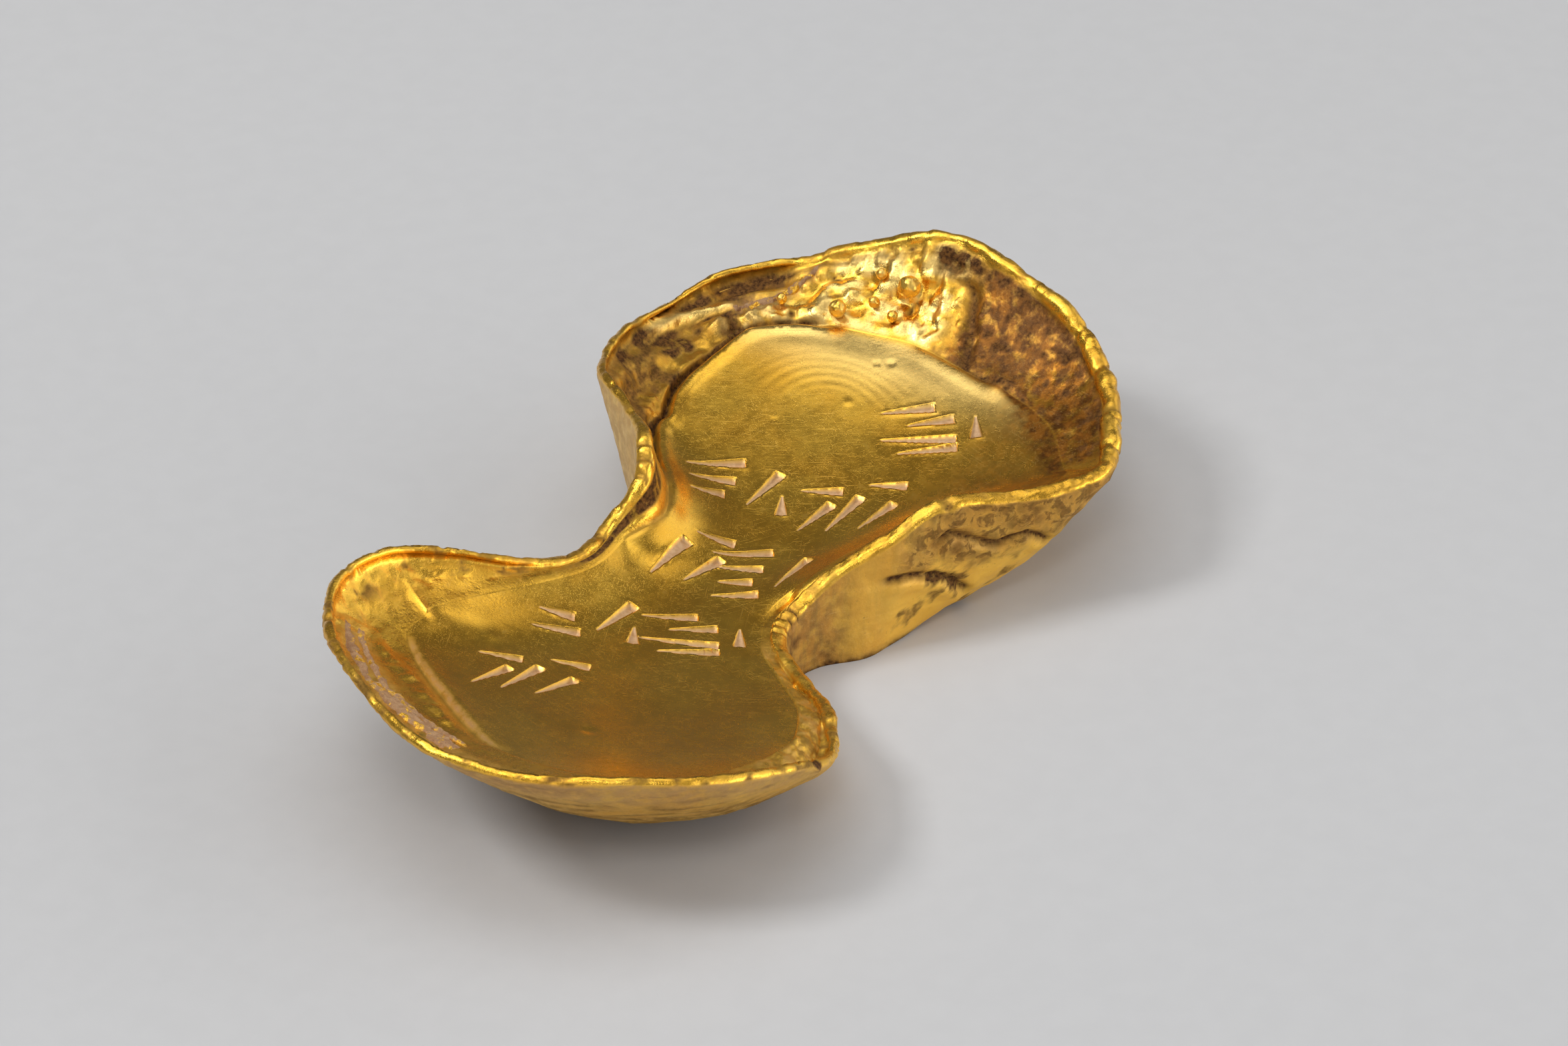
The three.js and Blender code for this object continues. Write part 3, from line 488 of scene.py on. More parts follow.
def shut_relief(points, turns):
    """Height of the cold shuts in the outer wall, and a mask of their dark bottoms."""
    relief, mask = np.zeros(len(points)), np.zeros(len(points))
    near = np.where((turns > 0.755) & (turns < 0.88))[0]
    for shut in SHUTS:
        shut = np.array(shut)
        steps = np.linspace(0, len(shut) - 1, 90)
        line = Outline(np.interp(steps, range(len(shut)), shut[:, 0]))
        path = line.outer(np.interp(steps, range(len(shut)), shut[:, 1]))
        gap = points[near][:, None, :] - path[None]
        distance = np.linalg.norm(gap, axis=2)
        nearest = distance.argmin(1)
        away = distance[np.arange(len(near)), nearest]
        above = gap[np.arange(len(near)), nearest, 2]
        ends = np.minimum(nearest, 89 - nearest) / 9
        strength = np.clip(ends + 0.25, 0, 1)
        swell = hump(away - 1.1, 0.7) * smooth(-above / 0.9)
        relief[near] += strength * (0.24 * swell - 0.6 * hump(away, 0.38))
        mask[near] = np.maximum(mask[near], strength * hump(away, 0.42))
    return relief, mask


def nodules(at, turn, share):
    """Where the inner wall is blistered, and the height of its rounded nodules."""
    slant = 0.012 * (share - 0.4)
    blistered = around(turn, 0.99, 0.047, 0.006)
    blistered = np.where(turn < 0.5, smooth((0.046 + slant - turn) / 0.006), blistered)
    strip = stretch(turn, 0.046, 0.098, 0.012) * smooth((share - 0.52) / 0.12)
    blistered = np.maximum(blistered, strip) * smooth(share / 0.06) * smooth((1.02 - share) / 0.06)
    beads, small, tiny = pebbles(at, 2.1, 9), pebbles(at, 1.15, 10), pebbles(at, 0.66, 24)
    return blistered, 0.75 * (beads - 0.5) + 0.46 * (small - 0.5) + 0.18 * tiny


def left_corner(turn, share):
    """The dark leaf, the bright flap, the hollow and the shadow over the flap in the far-left corner."""
    leaf = stretch(turn, 0.05, 0.084, 0.007) * smooth(share / 0.02) * smooth((0.3 - share) / 0.08)
    middle = np.interp(turn, (0.074, 0.078, 0.086, 0.092, 0.1, 0.112), (0.46, 0.42, 0.33, 0.24, 0.11, 0.05))
    present = stretch(turn, 0.071, 0.118, 0.009)
    flap = present * hump(share - middle, 0.1)
    over = present * hump(share - middle + 0.17, 0.07)
    under = present * hump(share - middle - 0.19, 0.06)
    hollow = stretch(turn, 0.092, 0.12, 0.008) * hump(share - 0.52, 0.16)
    return leaf, flap, hollow, np.maximum(over, 0.7 * under)


def fold_groove(turn, share, width):
    """The groove where the far wall folds over the right leaf."""
    return hump(turn - 0.9865 + 0.016 * (share - 0.5), width) * smooth((share - 0.2) / 0.1)


def outer_relief(at, turn, share):
    """Rough skin, cold shuts, hammer marks and drawn lines of the outer wall."""
    right = stretch(turn, 0.74, 0.93, 0.03)
    pitted = smooth((share - 0.5) / 0.3) * (0.6 - pebbles(at, 2.4, 7))
    hammered = lumps(at, 4.2, 2, 38) + 0.5 * lumps(at * [1, 1, 1.6], 1.9, 2, 39)
    drawn = lumps(at * [0.3, 0.3, 2], 1.0, 3, 37) * (stretch(turn, 0.28, 0.66, 0.04) + 0.4)
    high = smooth(share / 0.12) * (0.05 * lumps(at, 1.8, 3, 6) + 0.2 * right * pitted + 0.07 * drawn)
    high += 0.16 * right * smooth(share / 0.2) * smooth((1 - share) / 0.1) * hammered
    return high + shut_relief(at, turn)[0]


def rim_relief(at, turn):
    """Lumps and nicks along the rim, coarser round the far lobe, and bars across it on the right."""
    coarse = around(turn, 0.84, 0.3, 0.05) * smooth((lumps(at, 7, 1, 34) + 0.1) / 0.4)
    bars = hump(np.sin(turn * 41 * math.pi + 2 * lumps(at, 6, 1, 20)), 0.16)
    high = 0.15 * lumps(at, 4.4, 2, 8) + 0.11 * lumps(at, 1.8, 3, 18) + 0.06 * lumps(at, 0.6, 2, 35)
    high += 0.2 * coarse * (pebbles(at, 2.3, 19) - 0.6) + 0.26 * around(turn, 0.85, 0.975, 0.02) * (1 - bars)
    return high - 0.14 * smooth((lumps(at, 0.9, 2, 33) - 0.3) / 0.25) - 0.04


def inner_relief(at, turn, share):
    """Nodules, folds, knobs and dimples of the inner wall."""
    foot = smooth(share / 0.05)
    blistered, knobbly = nodules(at, turn, share)
    high = blistered * (knobbly + 0.55 * lumps(at, 3.2, 2, 11))
    torn = 0.3 * (pebbles(at, 1.6, 25) - 0.5) + 0.2 * lumps(at, 1.2, 2, 26)
    high += stretch(turn, 0.575, 0.68, 0.02) * foot * torn
    # the far-left corner and the groove beside the right leaf
    leaf, flap, hollow, _ = left_corner(turn, share)
    corner = stretch(turn, 0.055, 0.2, 0.02) * foot * smooth((1 - share) / 0.1)
    fold = np.sin((share * 1.7 + turn * 13 + 0.22 * lumps(at, 5, 2, 12)) * 2 * math.pi)
    high += corner * (1 - leaf) * (0.3 * fold + 0.34 * lumps(at, 2.2, 3, 13))
    high += 0.65 * flap - 0.35 * leaf - 0.4 * hollow - 0.5 * fold_groove(turn, share, 0.0022)
    right_leaf = 0.16 * lumps(at, 3, 3, 14) + 0.05 * lumps(at, 0.9, 2, 15)
    high += around(turn, 0.885, 0.985, 0.02) * foot * right_leaf
    # the near lobe
    high += 0.11 * stretch(turn, 0.33, 0.5, 0.03) * foot * lumps(at, 2.4, 3, 16)
    nuggets = 0.2 * (pebbles(at, 1.3, 17) - 0.4) + 0.1 * lumps(at, 0.8, 2, 29)
    high += stretch(turn, 0.335, 0.49, 0.01) * smooth((0.55 - share) / 0.2) * nuggets
    course = np.interp(turn, (0.395, 0.407, 0.426, 0.47), (0.5, 0.64, 0.76, 0.8))
    ridge = stretch(turn, 0.397, 0.475, 0.015) * hump(share - course, 0.11)
    high += ridge * (0.3 + 0.3 * (pebbles(at, 1.2, 30) - 0.5))
    for knob_turn, knob_share, size in KNOBS:
        distance = np.linalg.norm(at - inner_place(knob_turn, knob_share), axis=1) / size
        dome = np.sqrt(np.clip(1 - distance ** 2, 0, 1))
        high = np.maximum(high, np.where(distance < 1, dome * size * 0.75 - 0.1, -9))
    for dimple_turn, dimple_share, size, depth in DIMPLES:
        high -= depth * hump(np.linalg.norm(at - inner_place(dimple_turn, dimple_share), axis=1), size)
    fade = 0.1 + 0.3 * stretch(turn, 0.26, 0.4, 0.03) + 0.2 * stretch(turn, 0.0, 0.045, 0.01)
    return high * smooth((1 - share) / fade)


def wall_relief(points, turns, shares, zone):
    """Height along the surface direction for the outer wall, the rim and the inner wall."""
    outer, rim, inner = zone == OUTER, zone == RIM, zone == INNER
    # all over: the hammered, hand-poured unevenness
    relief = np.where(inner, 0.1 * smooth((1 - shares) / 0.4), 0.1) * lumps(points, 5.5, 2, 5)
    relief[outer] += outer_relief(points[outer], turns[outer], shares[outer])
    top = rim_blend(zone, shares)
    by_rim = top > 0
    relief[by_rim] += top[by_rim] * rim_relief(points[by_rim], turns[by_rim])
    slim = 0.8 * stretch(turns, 0.047, 0.2, 0.012) + 0.8 * stretch(turns, 0.29, 0.64, 0.03)
    relief -= slim * np.where(rim, inner_half(shares), np.where(inner, (1 - shares) ** 2, 0))
    relief[inner] += inner_relief(points[inner], turns[inner], shares[inner])
    return relief


def inner_half(share):
    """0 on the outer side of the rim, rising to 1 at the inner wall."""
    return smooth((share - 0.45) / 0.55)


def rim_blend(zone, share):
    """1 on the rim, fading out on both walls next to it."""
    outer = smooth(1 - (1 - share) / 0.09)
    inner = smooth(1 - share / 0.07)
    return np.where(zone == OUTER, outer, np.where(zone == INNER, inner, 1.0))


def base_point(turns, shares, zone):
    """Places on the casting's plain skin, and the outline there."""
    line = Outline(turns % 1.0)
    point = np.empty((len(turns), 3))
    for number, bend in ((OUTER, line.outer), (RIM, line.lip), (INNER, line.inner)):
        pick = zone == number
        if pick.any():
            point[pick] = bend(shares)[pick]
    return point, line


# Turn, width and depth of the rim's nicks
RIM_NOTCHES = (
    (0.7985, 0.0022, 0.35), (0.268, 0.003, 0.3), (0.115, 0.002, 0.2), (0.905, 0.0018, 0.22), (0.223, 0.0022, 0.5),
    (0.214, 0.0014, 0.3), (0.233, 0.0016, 0.35), (0.702, 0.001, 0.4), (0.709, 0.0008, 0.45), (0.716, 0.001, 0.4),
    (0.723, 0.0008, 0.35), (0.6, 0.0016, 0.3), (0.634, 0.0016, 0.35), (0.41, 0.0016, 0.3), (0.379, 0.0012, 0.25),
)
LEAF_STEP_TURN, LEAF_STEP = 0.043, 0.4
UNDERSIDE_SHARES = (0.97, 0.8, 0.5)
BOX_MARGIN, BOX_SOFTNESS = 0.02, 0.25


def skin(turns, shares, zone):
    """Places on the finished skin of the walls and the rim, and the direction away from it."""
    turns, shares = np.asarray(turns, float) % 1.0, np.asarray(shares, float)
    rim, inner = zone == RIM, zone == INNER
    point, line = base_point(turns, shares, zone)
    beside = base_point(turns + 0.0008, shares, zone)[0] - base_point(turns - 0.0008, shares, zone)[0]
    up = base_point(turns, shares + 0.01, zone)[0] - base_point(turns, shares - 0.01, zone)[0]
    normal = np.cross(up, beside)
    normal /= np.linalg.norm(normal, axis=1, keepdims=True) + 1e-12
    facing = np.where(zone == OUTER, (normal * line.out).sum(1), normal[:, 2])
    facing = np.where(rim, ((point - line.rim + [0, 0, RIM_THICKNESS / 2]) * normal).sum(1), facing)
    normal *= np.where(facing < 0, -1, 1)[:, None]
    moved = point + normal * wall_relief(point, turns, shares, zone)[:, None]
    # the floor's sweep runs up the inner wall, less and less towards the rim
    edge = line.edge
    ceiling = line.rim[:, 2] - RIM_THICKNESS / 2
    headroom = np.clip((ceiling - point[:, 2]) / np.maximum(ceiling - edge[:, 2], 0.6), 0, 1)
    headroom = np.minimum(1 - (1 - headroom) ** 2, 1 - (1 - shares) ** 2)
    fields = edge_fields(turns)
    aside = np.linalg.norm((point - edge)[:, :2], axis=1) * fields[:, 5]
    moved[:, 2] += np.where(inner, sweep_at(fields, aside) * headroom, 0)
    # the rims at the waist are filled towards the floor
    filled = RIM_THICKNESS * (0.42 * stretch(turns, 0.665, 0.87, 0.03) + 0.2 * stretch(turns, 0.2, 0.31, 0.03))
    moved[:, 2] += filled * np.where(rim, inner_half(shares), np.where(inner, (1 - shares) ** 1.5, 0))
    # the floor's own unevenness and its crevice run a little way up the inner wall
    off = np.linalg.norm(point - edge, axis=1)
    low = np.where(inner, smooth(1 - off / 2.2), 0)
    pick = low > 0
    if pick.any():
        moved[pick, 2] += low[pick] * floor_relief(edge[pick, 0], edge[pick, 1], fields[pick], -off[pick])
    # the rim steps where one leaf of metal laps over the next, and has a few nicks
    top = rim_blend(zone, shares)
    lap = turns_after(turns, LEAF_STEP_TURN)
    moved[:, 2] -= top * LEAF_STEP * (smooth(lap / 0.003 + 0.5) - 0.5) * np.exp(-np.abs(lap) / 0.015)
    for notch, width, depth in RIM_NOTCHES:
        moved[:, 2] -= top * depth * hump(turns_after(turns, notch), width)
    return moved, normal


def inside_box(points):
    """Holds places in millimetres softly inside the solid's own box."""
    low = np.array(cad_low) / MM + MIDDLE + BOX_MARGIN
    high = np.array(cad_high) / MM + MIDDLE - BOX_MARGIN
    points = high - held(high - points)
    points[:, :2] = low[:2] + held(points[:, :2] - low[:2])
    points[:, 2] = np.maximum(points[:, 2], 0)
    return points


def held(room):
    """Room to the box's side, kept above nothing by a soft stop."""
    return np.where(room < BOX_SOFTNESS, BOX_SOFTNESS * np.exp(np.minimum(room / BOX_SOFTNESS - 1, 0)), room)


def finish_mesh(name, points, faces, material, attributes):
    """A visible piece from places in millimetres, with its masks."""
    mesh = bpy.data.meshes.new(name)
    mesh.from_pydata(((points - MIDDLE) * MM).tolist(), [], faces)
    for title, values in attributes:
        layer = mesh.attributes.new(title, "FLOAT", "POINT")
        layer.data.foreach_set("value", np.asarray(values, np.float32))
    mesh.shade_smooth()
    mesh.materials.append(material)
    piece = bpy.data.objects.new(name, mesh)
    bpy.context.scene.collection.objects.link(piece)
    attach(piece, "root")
    return piece


def floor_mesh(ring, cuts):
    """Points and triangles of the floor inside a closed ring of places."""
    low, high = ring.min(0), ring.max(0)
    rows = np.arange(low[1], high[1], FLOOR_PITCH * math.sqrt(3) / 2)
    grid = []
    for number, y in enumerate(rows):
        xs = np.arange(low[0] + (number % 2) * FLOOR_PITCH / 2, high[0], FLOOR_PITCH)
        grid.append(np.c_[xs, np.full(len(xs), y)])
    grid = np.concatenate(grid)
    after = np.roll(ring, -1, axis=0)
    inside = np.zeros(len(grid), bool)
    for a, b in zip(ring, after):
        cross = (a[1] > grid[:, 1]) != (b[1] > grid[:, 1])
        inside ^= cross & (grid[:, 0] < a[0] + (b[0] - a[0]) * (grid[:, 1] - a[1]) / (b[1] - a[1] + 1e-15))
    grid = grid[inside]
    near = np.full(len(grid), 9.0)
    for a in ring:
        near = np.minimum(near, np.hypot(grid[:, 0] - a[0], grid[:, 1] - a[1]))
    grid = grid[near > 0.24]
    keep = np.ones(len(grid), bool)
    for cut in cuts:
        along, aside, half = cut_frame(cut, grid[:, 0], grid[:, 1])
        outside = np.maximum(np.maximum(-along, along - cut[3]), aside - half)
        keep &= (outside > 0.52) | (outside < -CUT_WALL - 0.14)
    points = [ring, grid[keep]]
    count = len(ring)
    edges = [(k, (k + 1) % count) for k in range(count)]
    count += int(keep.sum())
    for cut in cuts:
        for loop in cut_loops(cut):
            points.append(loop)
            edges += [(count + k, count + (k + 1) % len(loop)) for k in range(len(loop))]
            count += len(loop)
    points = np.concatenate(points)
    out, _, faces, origin, _, _ = delaunay_2d_cdt([Vector(p) for p in points], edges, [], 1, 1e-5)
    xy = np.array([tuple(p) for p in out])
    first = {}
    for number, sources in enumerate(origin):
        for source in sources:
            first.setdefault(source, number)
    return xy, [tuple(face) for face in faces], first


def along_edge(places, edge):
    """Distance from each place to the closed edge, and the turn of the nearest point on it."""
    distance, turn = np.full(len(places), 99.0), np.zeros(len(places))
    after = np.roll(edge, -1, axis=0)
    for number, (a, b) in enumerate(zip(edge, after)):
        span = b - a
        share = np.clip(((places - a) @ span) / (span @ span), 0, 1)
        away = np.hypot(*(places - a - share[:, None] * span).T)
        closer = away < distance
        distance[closer] = away[closer]
        turn[closer] = (number + share[closer]) / len(edge) % 1.0
    return distance, turn


def band_faces(low, high):
    """Faces between two rings of points, from the number of each ring's first point."""
    after = [*range(1, TURN_STEPS), 0]
    return [(low + k, low + n, high + n, high + k) for k, n in enumerate(after)]


def floor_at(places, fine_edge, fine_turns):
    """Height of the finished floor, apart from its cuts."""
    off, fields = softened_edge(places, fine_edge, fine_turns)
    return floor_height(places[:, 0], places[:, 1]) + floor_relief(places[:, 0], places[:, 1], fields, off)


def make_casting(material):
    turns = np.arange(TURN_STEPS) / TURN_STEPS
    rows = [(OUTER, share) for share in WALL_SHARES]
    rows += [(RIM, share) for share in np.linspace(0, 1, RIM_STEPS + 1)[1:]]
    rows += [(INNER, 1 - (1 - share) ** 1.15) for share in np.linspace(0, 1, INNER_STEPS + 1)[1:]]
    zone = np.repeat([row[0] for row in rows], TURN_STEPS)
    shares = np.repeat([row[1] for row in rows], TURN_STEPS)
    all_turns = np.tile(turns, len(rows))
    parts = [skin(all_turns, shares, zone)[0]]
    # rings that follow the floor's edge
    line = Outline(turns)
    edge = line.edge
    tangent = np.roll(edge, -2, axis=0) - np.roll(edge, 2, axis=0)
    inward = np.c_[-tangent[:, 1], tangent[:, 0]]
    inward /= np.linalg.norm(inward, axis=1, keepdims=True)
    if (inward * (edge[:, :2] - [0, CENTRE_Y])).sum() > 0:
        inward = -inward
    gutter = floor_height(edge[:, 0], edge[:, 1]) - edge[:, 2]
    fine_turns = np.arange(TURN_STEPS * 3) / (TURN_STEPS * 3)
    fine_edge = Outline(fine_turns).edge
    for off in EDGE_OFFSETS:
        xy = edge[:, :2] + inward * off
        parts.append(np.c_[xy, floor_at(xy, fine_edge, fine_turns) - gutter * smooth(1 - off / EDGE_OFFSETS[-1])])
    ring_start = (len(rows) + len(EDGE_OFFSETS) - 1) * TURN_STEPS
    # the floor inside the last ring, with the cuts
    cuts = tally_cuts()
    xy, triangles, first = floor_mesh(parts[-1][:, :2], cuts)
    relief, mask = cut_relief(cuts, xy[:, 0], xy[:, 1])
    index = np.full(len(xy), -1)
    for number in range(TURN_STEPS):
        index[first[number]] = ring_start + number
    fresh = np.where(index < 0)[0]
    index[fresh] = ring_start + TURN_STEPS + np.arange(len(fresh))
    parts.append(np.c_[xy, floor_at(xy, fine_edge, fine_turns) + relief][fresh])
    to_edge, nearest = along_edge(xy[fresh], edge[:, :2])
    faces = [face for start in range(0, ring_start, TURN_STEPS) for face in band_faces(start, start + TURN_STEPS)]
    faces += [tuple(int(index[corner]) for corner in triangle) for triangle in triangles]
    # the underside
    start = ring_start + TURN_STEPS + len(fresh)
    under = [line.foot * [share, share, 1] + [0, CENTRE_Y * (1 - share) * 0.5, 0] for share in UNDERSIDE_SHARES]
    parts += under + [np.array([[0, CENTRE_Y * 0.5, 0]])]
    outer = 0
    for row in range(len(under)):
        faces += band_faces(start + row * TURN_STEPS, outer)
        outer = start + row * TURN_STEPS
    tip = outer + TURN_STEPS
    faces += [(outer + (k + 1) % TURN_STEPS, outer + k, tip) for k in range(TURN_STEPS)]
    below = np.zeros(tip + 1 - start)
    zone = np.r_[zone, np.full(len(EDGE_OFFSETS) * TURN_STEPS, BORDER), np.full(len(fresh), FLOOR), below + FOOT]
    shares = np.r_[shares, np.repeat(EDGE_OFFSETS, TURN_STEPS), to_edge, below]
    all_turns = np.r_[all_turns, np.tile(turns, len(EDGE_OFFSETS)), nearest, below]
    marks = np.zeros(tip + 1)
    marks[index] = mask
    points = inside_box(np.concatenate(parts))
    piece = finish_mesh("gold_casting", points, faces, material, casting_masks(points, all_turns, shares, zone, marks))
    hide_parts("cast_body")


# Turn, share and size of the dark spots on the inner wall
DARK_SPOTS = (
    (0.944, 0.18, 0.55), (0.93, 0.5, 0.4), (0.955, 0.4, 0.35), (0.915, 0.3, 0.4), (0.042, 0.7, 0.7), (0.055, 0.84, 0.5),
)


def outer_masks(at, turn, share):
    """Outer wall marks: dark shut bottoms, painted shade along the right foot, neck stains, streaks near the camera on
    painted shade that darkens the lower wall, a pale left, and the blotched band on the right.
    """
    right, near = stretch(turn, 0.77, 0.9, 0.02), stretch(turn, 0.3, 0.62, 0.04)
    left, neck = stretch(turn, 0.1, 0.3, 0.04), stretch(turn, 0.655, 0.765, 0.02)
    blot = lumps(at, 3.2, 3, 21)
    streak = lumps(at * [0.25, 0.25, 1.6], 1.6, 3, 27)
    band = right * smooth((share - 0.6 + 0.1 * blot) / 0.15)
    plain, _ = base_point(turn, share, np.full(len(turn), OUTER))
    # dark shut bottoms, and painted shade along the foot of the right half
    soil_and_painted_shade = shut_relief(plain, turn)[1] + 0.8 * smooth(1 - share / 0.12) * stretch(turn, 0.62, 0.95, 0.03)
    soil_and_painted_shade += 0.7 * right * smooth((lumps(at, 2.6, 3, 40) - 0.28) / 0.2) * smooth((0.75 - share) / 0.2)
    # stains at the neck; near the camera, streaks over painted shade that darkens the wall towards the bottom
    soil_and_painted_shade += 0.6 * neck * smooth((blot + 0.15) / 0.6) + 0.62 * near * smooth((0.98 - share + 0.5 * streak) / 0.6)
    return {"soil_and_painted_shade": soil_and_painted_shade, "amber": 0.3 + 0.4 * neck + 0.45 * band - 0.24 * right, "blotch": band, "pale_and_painted_highlight": left,
            "pink": 0.55 * near * smooth((share - 0.72) / 0.2) + 0.55 * left}


def inner_masks(at, turn, share):
    """Residue and painted shade, amber film, the flap and nodule tops painted lighter as highlight, and thin deposits
    of the inner wall.
    """
    corner, torn = stretch(turn, 0.055, 0.2, 0.02), stretch(turn, 0.57, 0.7, 0.02)
    leaf, flap, dip, over = left_corner(turn, share)
    right_leaf = around(turn, 0.875, 0.996, 0.012)
    blistered, knobbly = nodules(at, turn, share)
    stain = lumps(at, 1.9, 3, 28)
    soil_and_painted_shade = gutter_at(turn) * smooth((share - 0.9) / 0.08)
    # the dark line below the rim on the far lobe, and the waist's left end
    soil_and_painted_shade += 0.55 * around(turn, 0.87, 0.2, 0.03) * hump(share - 0.08, 0.06)
    soil_and_painted_shade += stretch(turn, 0.2, 0.3, 0.02) * smooth((share - 0.1) / 0.1) * smooth((0.75 - share) / 0.2)
    soil_and_painted_shade += 0.75 * corner * smooth((lumps(at, 3.4, 2, 22) + 0.05) / 0.3) * (1 - flap)
    # painted shadow lines above and below the flap, and painted shade in the creases between the nodules; the leaf and
    # the hollow are darker too
    soil_and_painted_shade += 0.55 * leaf + 0.8 * over + 0.3 * dip + 0.9 * blistered * smooth((-0.16 - knobbly) / 0.3)
    # the right leaf, the far tip and the groove between them
    soil_and_painted_shade += 0.4 * stretch(turn, 0.945, 0.99, 0.02) * smooth(share / 0.2)
    soil_and_painted_shade += 0.75 * around(turn, 0.988, 0.009, 0.006) * smooth((0.34 - share) / 0.12) * smooth(share / 0.03)
    soil_and_painted_shade += 0.6 * right_leaf * smooth((lumps(at, 1.6, 3, 23) - 0.3) / 0.2) + 0.8 * fold_groove(turn, share, 0.0018)
    for spot_turn, spot_share, size in DARK_SPOTS:
        soil_and_painted_shade += np.exp(-((at - inner_place(spot_turn, spot_share)) ** 2).sum(1) / size ** 2)
    # stains of the near lobe
    soil_and_painted_shade += 0.7 * stretch(turn, 0.29, 0.42, 0.02) * smooth((0.5 - share) / 0.3) * smooth((stain - 0.12) / 0.3)
    soil_and_painted_shade += 0.6 * torn * smooth((stain + 0.05) / 0.3)
    # deposits thinly spread on the walls
    course = np.interp(turn, (0.043, 0.05, 0.062, 0.08), (0.05, 0.32, 0.52, 0.58))
    pink = 0.5 * torn * smooth((0.1 - stain) / 0.3)
    pink += 0.8 * stretch(turn, 0.041, 0.082, 0.006) * hump(share - course, 0.16)
    pink += 0.4 * stretch(turn, 0.39, 0.53, 0.02) * smooth((0.3 - np.abs(share - 0.3)) / 0.2)
    amber = 0.45 * corner * (1 - flap) + 0.8 * leaf + right_leaf * smooth((1.1 - share) / 0.15)
    # painted highlight: the bright flap and the tops of the nodules are lighter
    return {"soil_and_painted_shade": soil_and_painted_shade, "amber": amber, "pink": pink, "pale_and_painted_highlight": flap + blistered * smooth((knobbly + 0.1) / 0.4)}


def floor_masks(at, turn, off):
    """Residue in the crevice, the amber film on the right, the deposit's line and a painted highlight over the far end,
    by the distance from the edge.
    """
    far_right = smooth((at[:, 0] - 12) / 8) * smooth((-at[:, 1] - 6) / 9)
    amber = 0.6 * around(turn, 0.85, 0.955, 0.03) * smooth(1 - off / 3.4)
    amber += around(turn, 0.925, 0.985, 0.015) * hump(off, 0.6) + far_right * (0.6 + 0.15 * lumps(at, 3.5, 2, 41))
    return {"soil_and_painted_shade": gutter_at(turn) * hump(off, 0.42), "amber": amber,
            "pink": 0.9 * stretch(turn, 0.385, 0.5, 0.02) * hump(off - 0.5, 0.3),
            # painted highlight: lighter towards the far end of the floor
            "pale_and_painted_highlight": smooth((at[:, 0] - 29) / 8) * smooth(off / 1.2)}


def casting_masks(points, turns, shares, zone, marks):
    """Where the metal is soiled or painted in shade, amber, crusted, blotched, pale or painted with highlight, or cut,
    one number a point.
    """
    masks = {title: np.zeros(len(points)) for title in ("soil_and_painted_shade", "amber", "pink", "blotch", "pale_and_painted_highlight")}
    for part, paint in ((zone == OUTER, outer_masks), (zone == INNER, inner_masks), (zone >= BORDER, floor_masks)):
        for title, values in paint(points[part], turns[part], shares[part]).items():
            masks[title][part] += values
    # residue in the nicks and in patches along the rim
    rim = zone == RIM
    by_rim = rim_blend(zone, shares) * (zone >= OUTER) * (zone <= INNER)
    for notch, width, _ in RIM_NOTCHES:
        masks["soil_and_painted_shade"] += 0.6 * by_rim * hump(turns_after(turns, notch), width * 1.1)
    flaky = smooth((lumps(points[rim], 2.0, 3, 36) - 0.22) / 0.2)
    masks["soil_and_painted_shade"][rim] += flaky * (0.35 + 0.35 * stretch(turns[rim], 0.3, 0.68, 0.05))
    tones = 0.25 * smooth(1 - shares / 3) * (zone >= BORDER)
    masks["wall"] = np.select([zone == OUTER, rim, zone == INNER], [1.0, 0.7, 0.8], tones)
    masks["outer"] = (zone == OUTER) * 1.0
    masks["marks"] = marks
    return [(title, np.clip(values, 0, 1)) for title, values in masks.items()]


# ---- the deposits and the drops ----

CRUST_THICKNESS = 0.3


def make_crust(name, material, turn_span, share_span, seed, strips):
    """An irregular slab of deposit along courses over the inner wall, which thins out at its border."""
    columns, rows = 150, 46
    u, v = np.meshgrid(np.linspace(0, 1, columns), np.linspace(0, 1, rows))
    turns = between(turn_span[0], turn_span[1], u.ravel())
    shares = between(share_span[0], share_span[1], v.ravel())
    zone = np.full(len(turns), INNER)
    surface, normal = skin(turns, shares, zone)
    border = smooth(np.minimum(np.minimum(u, 1 - u) * 10, np.minimum(v, 1 - v) * 8).ravel())
    drift = 0.05 * lumps(surface, 4, 2, seed + 3)
    ragged = np.full(len(turns), -1.0)
    for course, half in strips:
        middle = np.interp(u.ravel(), [step[0] for step in course], [step[1] for step in course])
        ragged = np.maximum(ragged, 1 - np.abs(v.ravel() - middle + drift) / half)
    ragged += 0.5 * lumps(surface, 1.5, 4, seed) - 0.1
    cover = smooth(ragged / 0.3) * border
    grain = 0.5 + 0.5 * lumps(surface, 0.9, 3, seed + 1)
    grains = pebbles(surface, 0.55, seed + 2)
    height = -0.14 + cover * (0.16 + CRUST_THICKNESS * (0.35 + 0.4 * grain + 0.35 * grains))
    top = surface + normal * height[:, None]
    bottom = surface - normal * 0.3
    points = np.concatenate([top, bottom])
    grid = np.arange(rows * columns).reshape(rows, columns)
    quads = np.stack([grid[:-1, :-1], grid[:-1, 1:], grid[1:, 1:], grid[1:, :-1]], -1).reshape(-1, 4)
    border = np.r_[grid[0], grid[1:, -1], grid[-1, -2::-1], grid[-2:0:-1, 0]]
    after = np.roll(border, -1)
    below = rows * columns
    centre = quads[len(quads) // 2]
    a, b, c = (top[centre[k]] for k in (0, 1, 2))
    flip = np.dot(np.cross(b - a, c - a), normal[centre[0]]) < 0
    side = np.c_[border, border + below, after + below, after]
    faces = np.concatenate([quads, quads[:, ::-1] + below, side])
    faces = [tuple(face) for face in (faces[:, ::-1] if flip else faces).tolist()]
    piece = finish_mesh(name + "_grit", points, faces, material,
                        (("grit", np.r_[grain, grain]), ("cover", np.r_[cover, cover])))
    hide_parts(name)


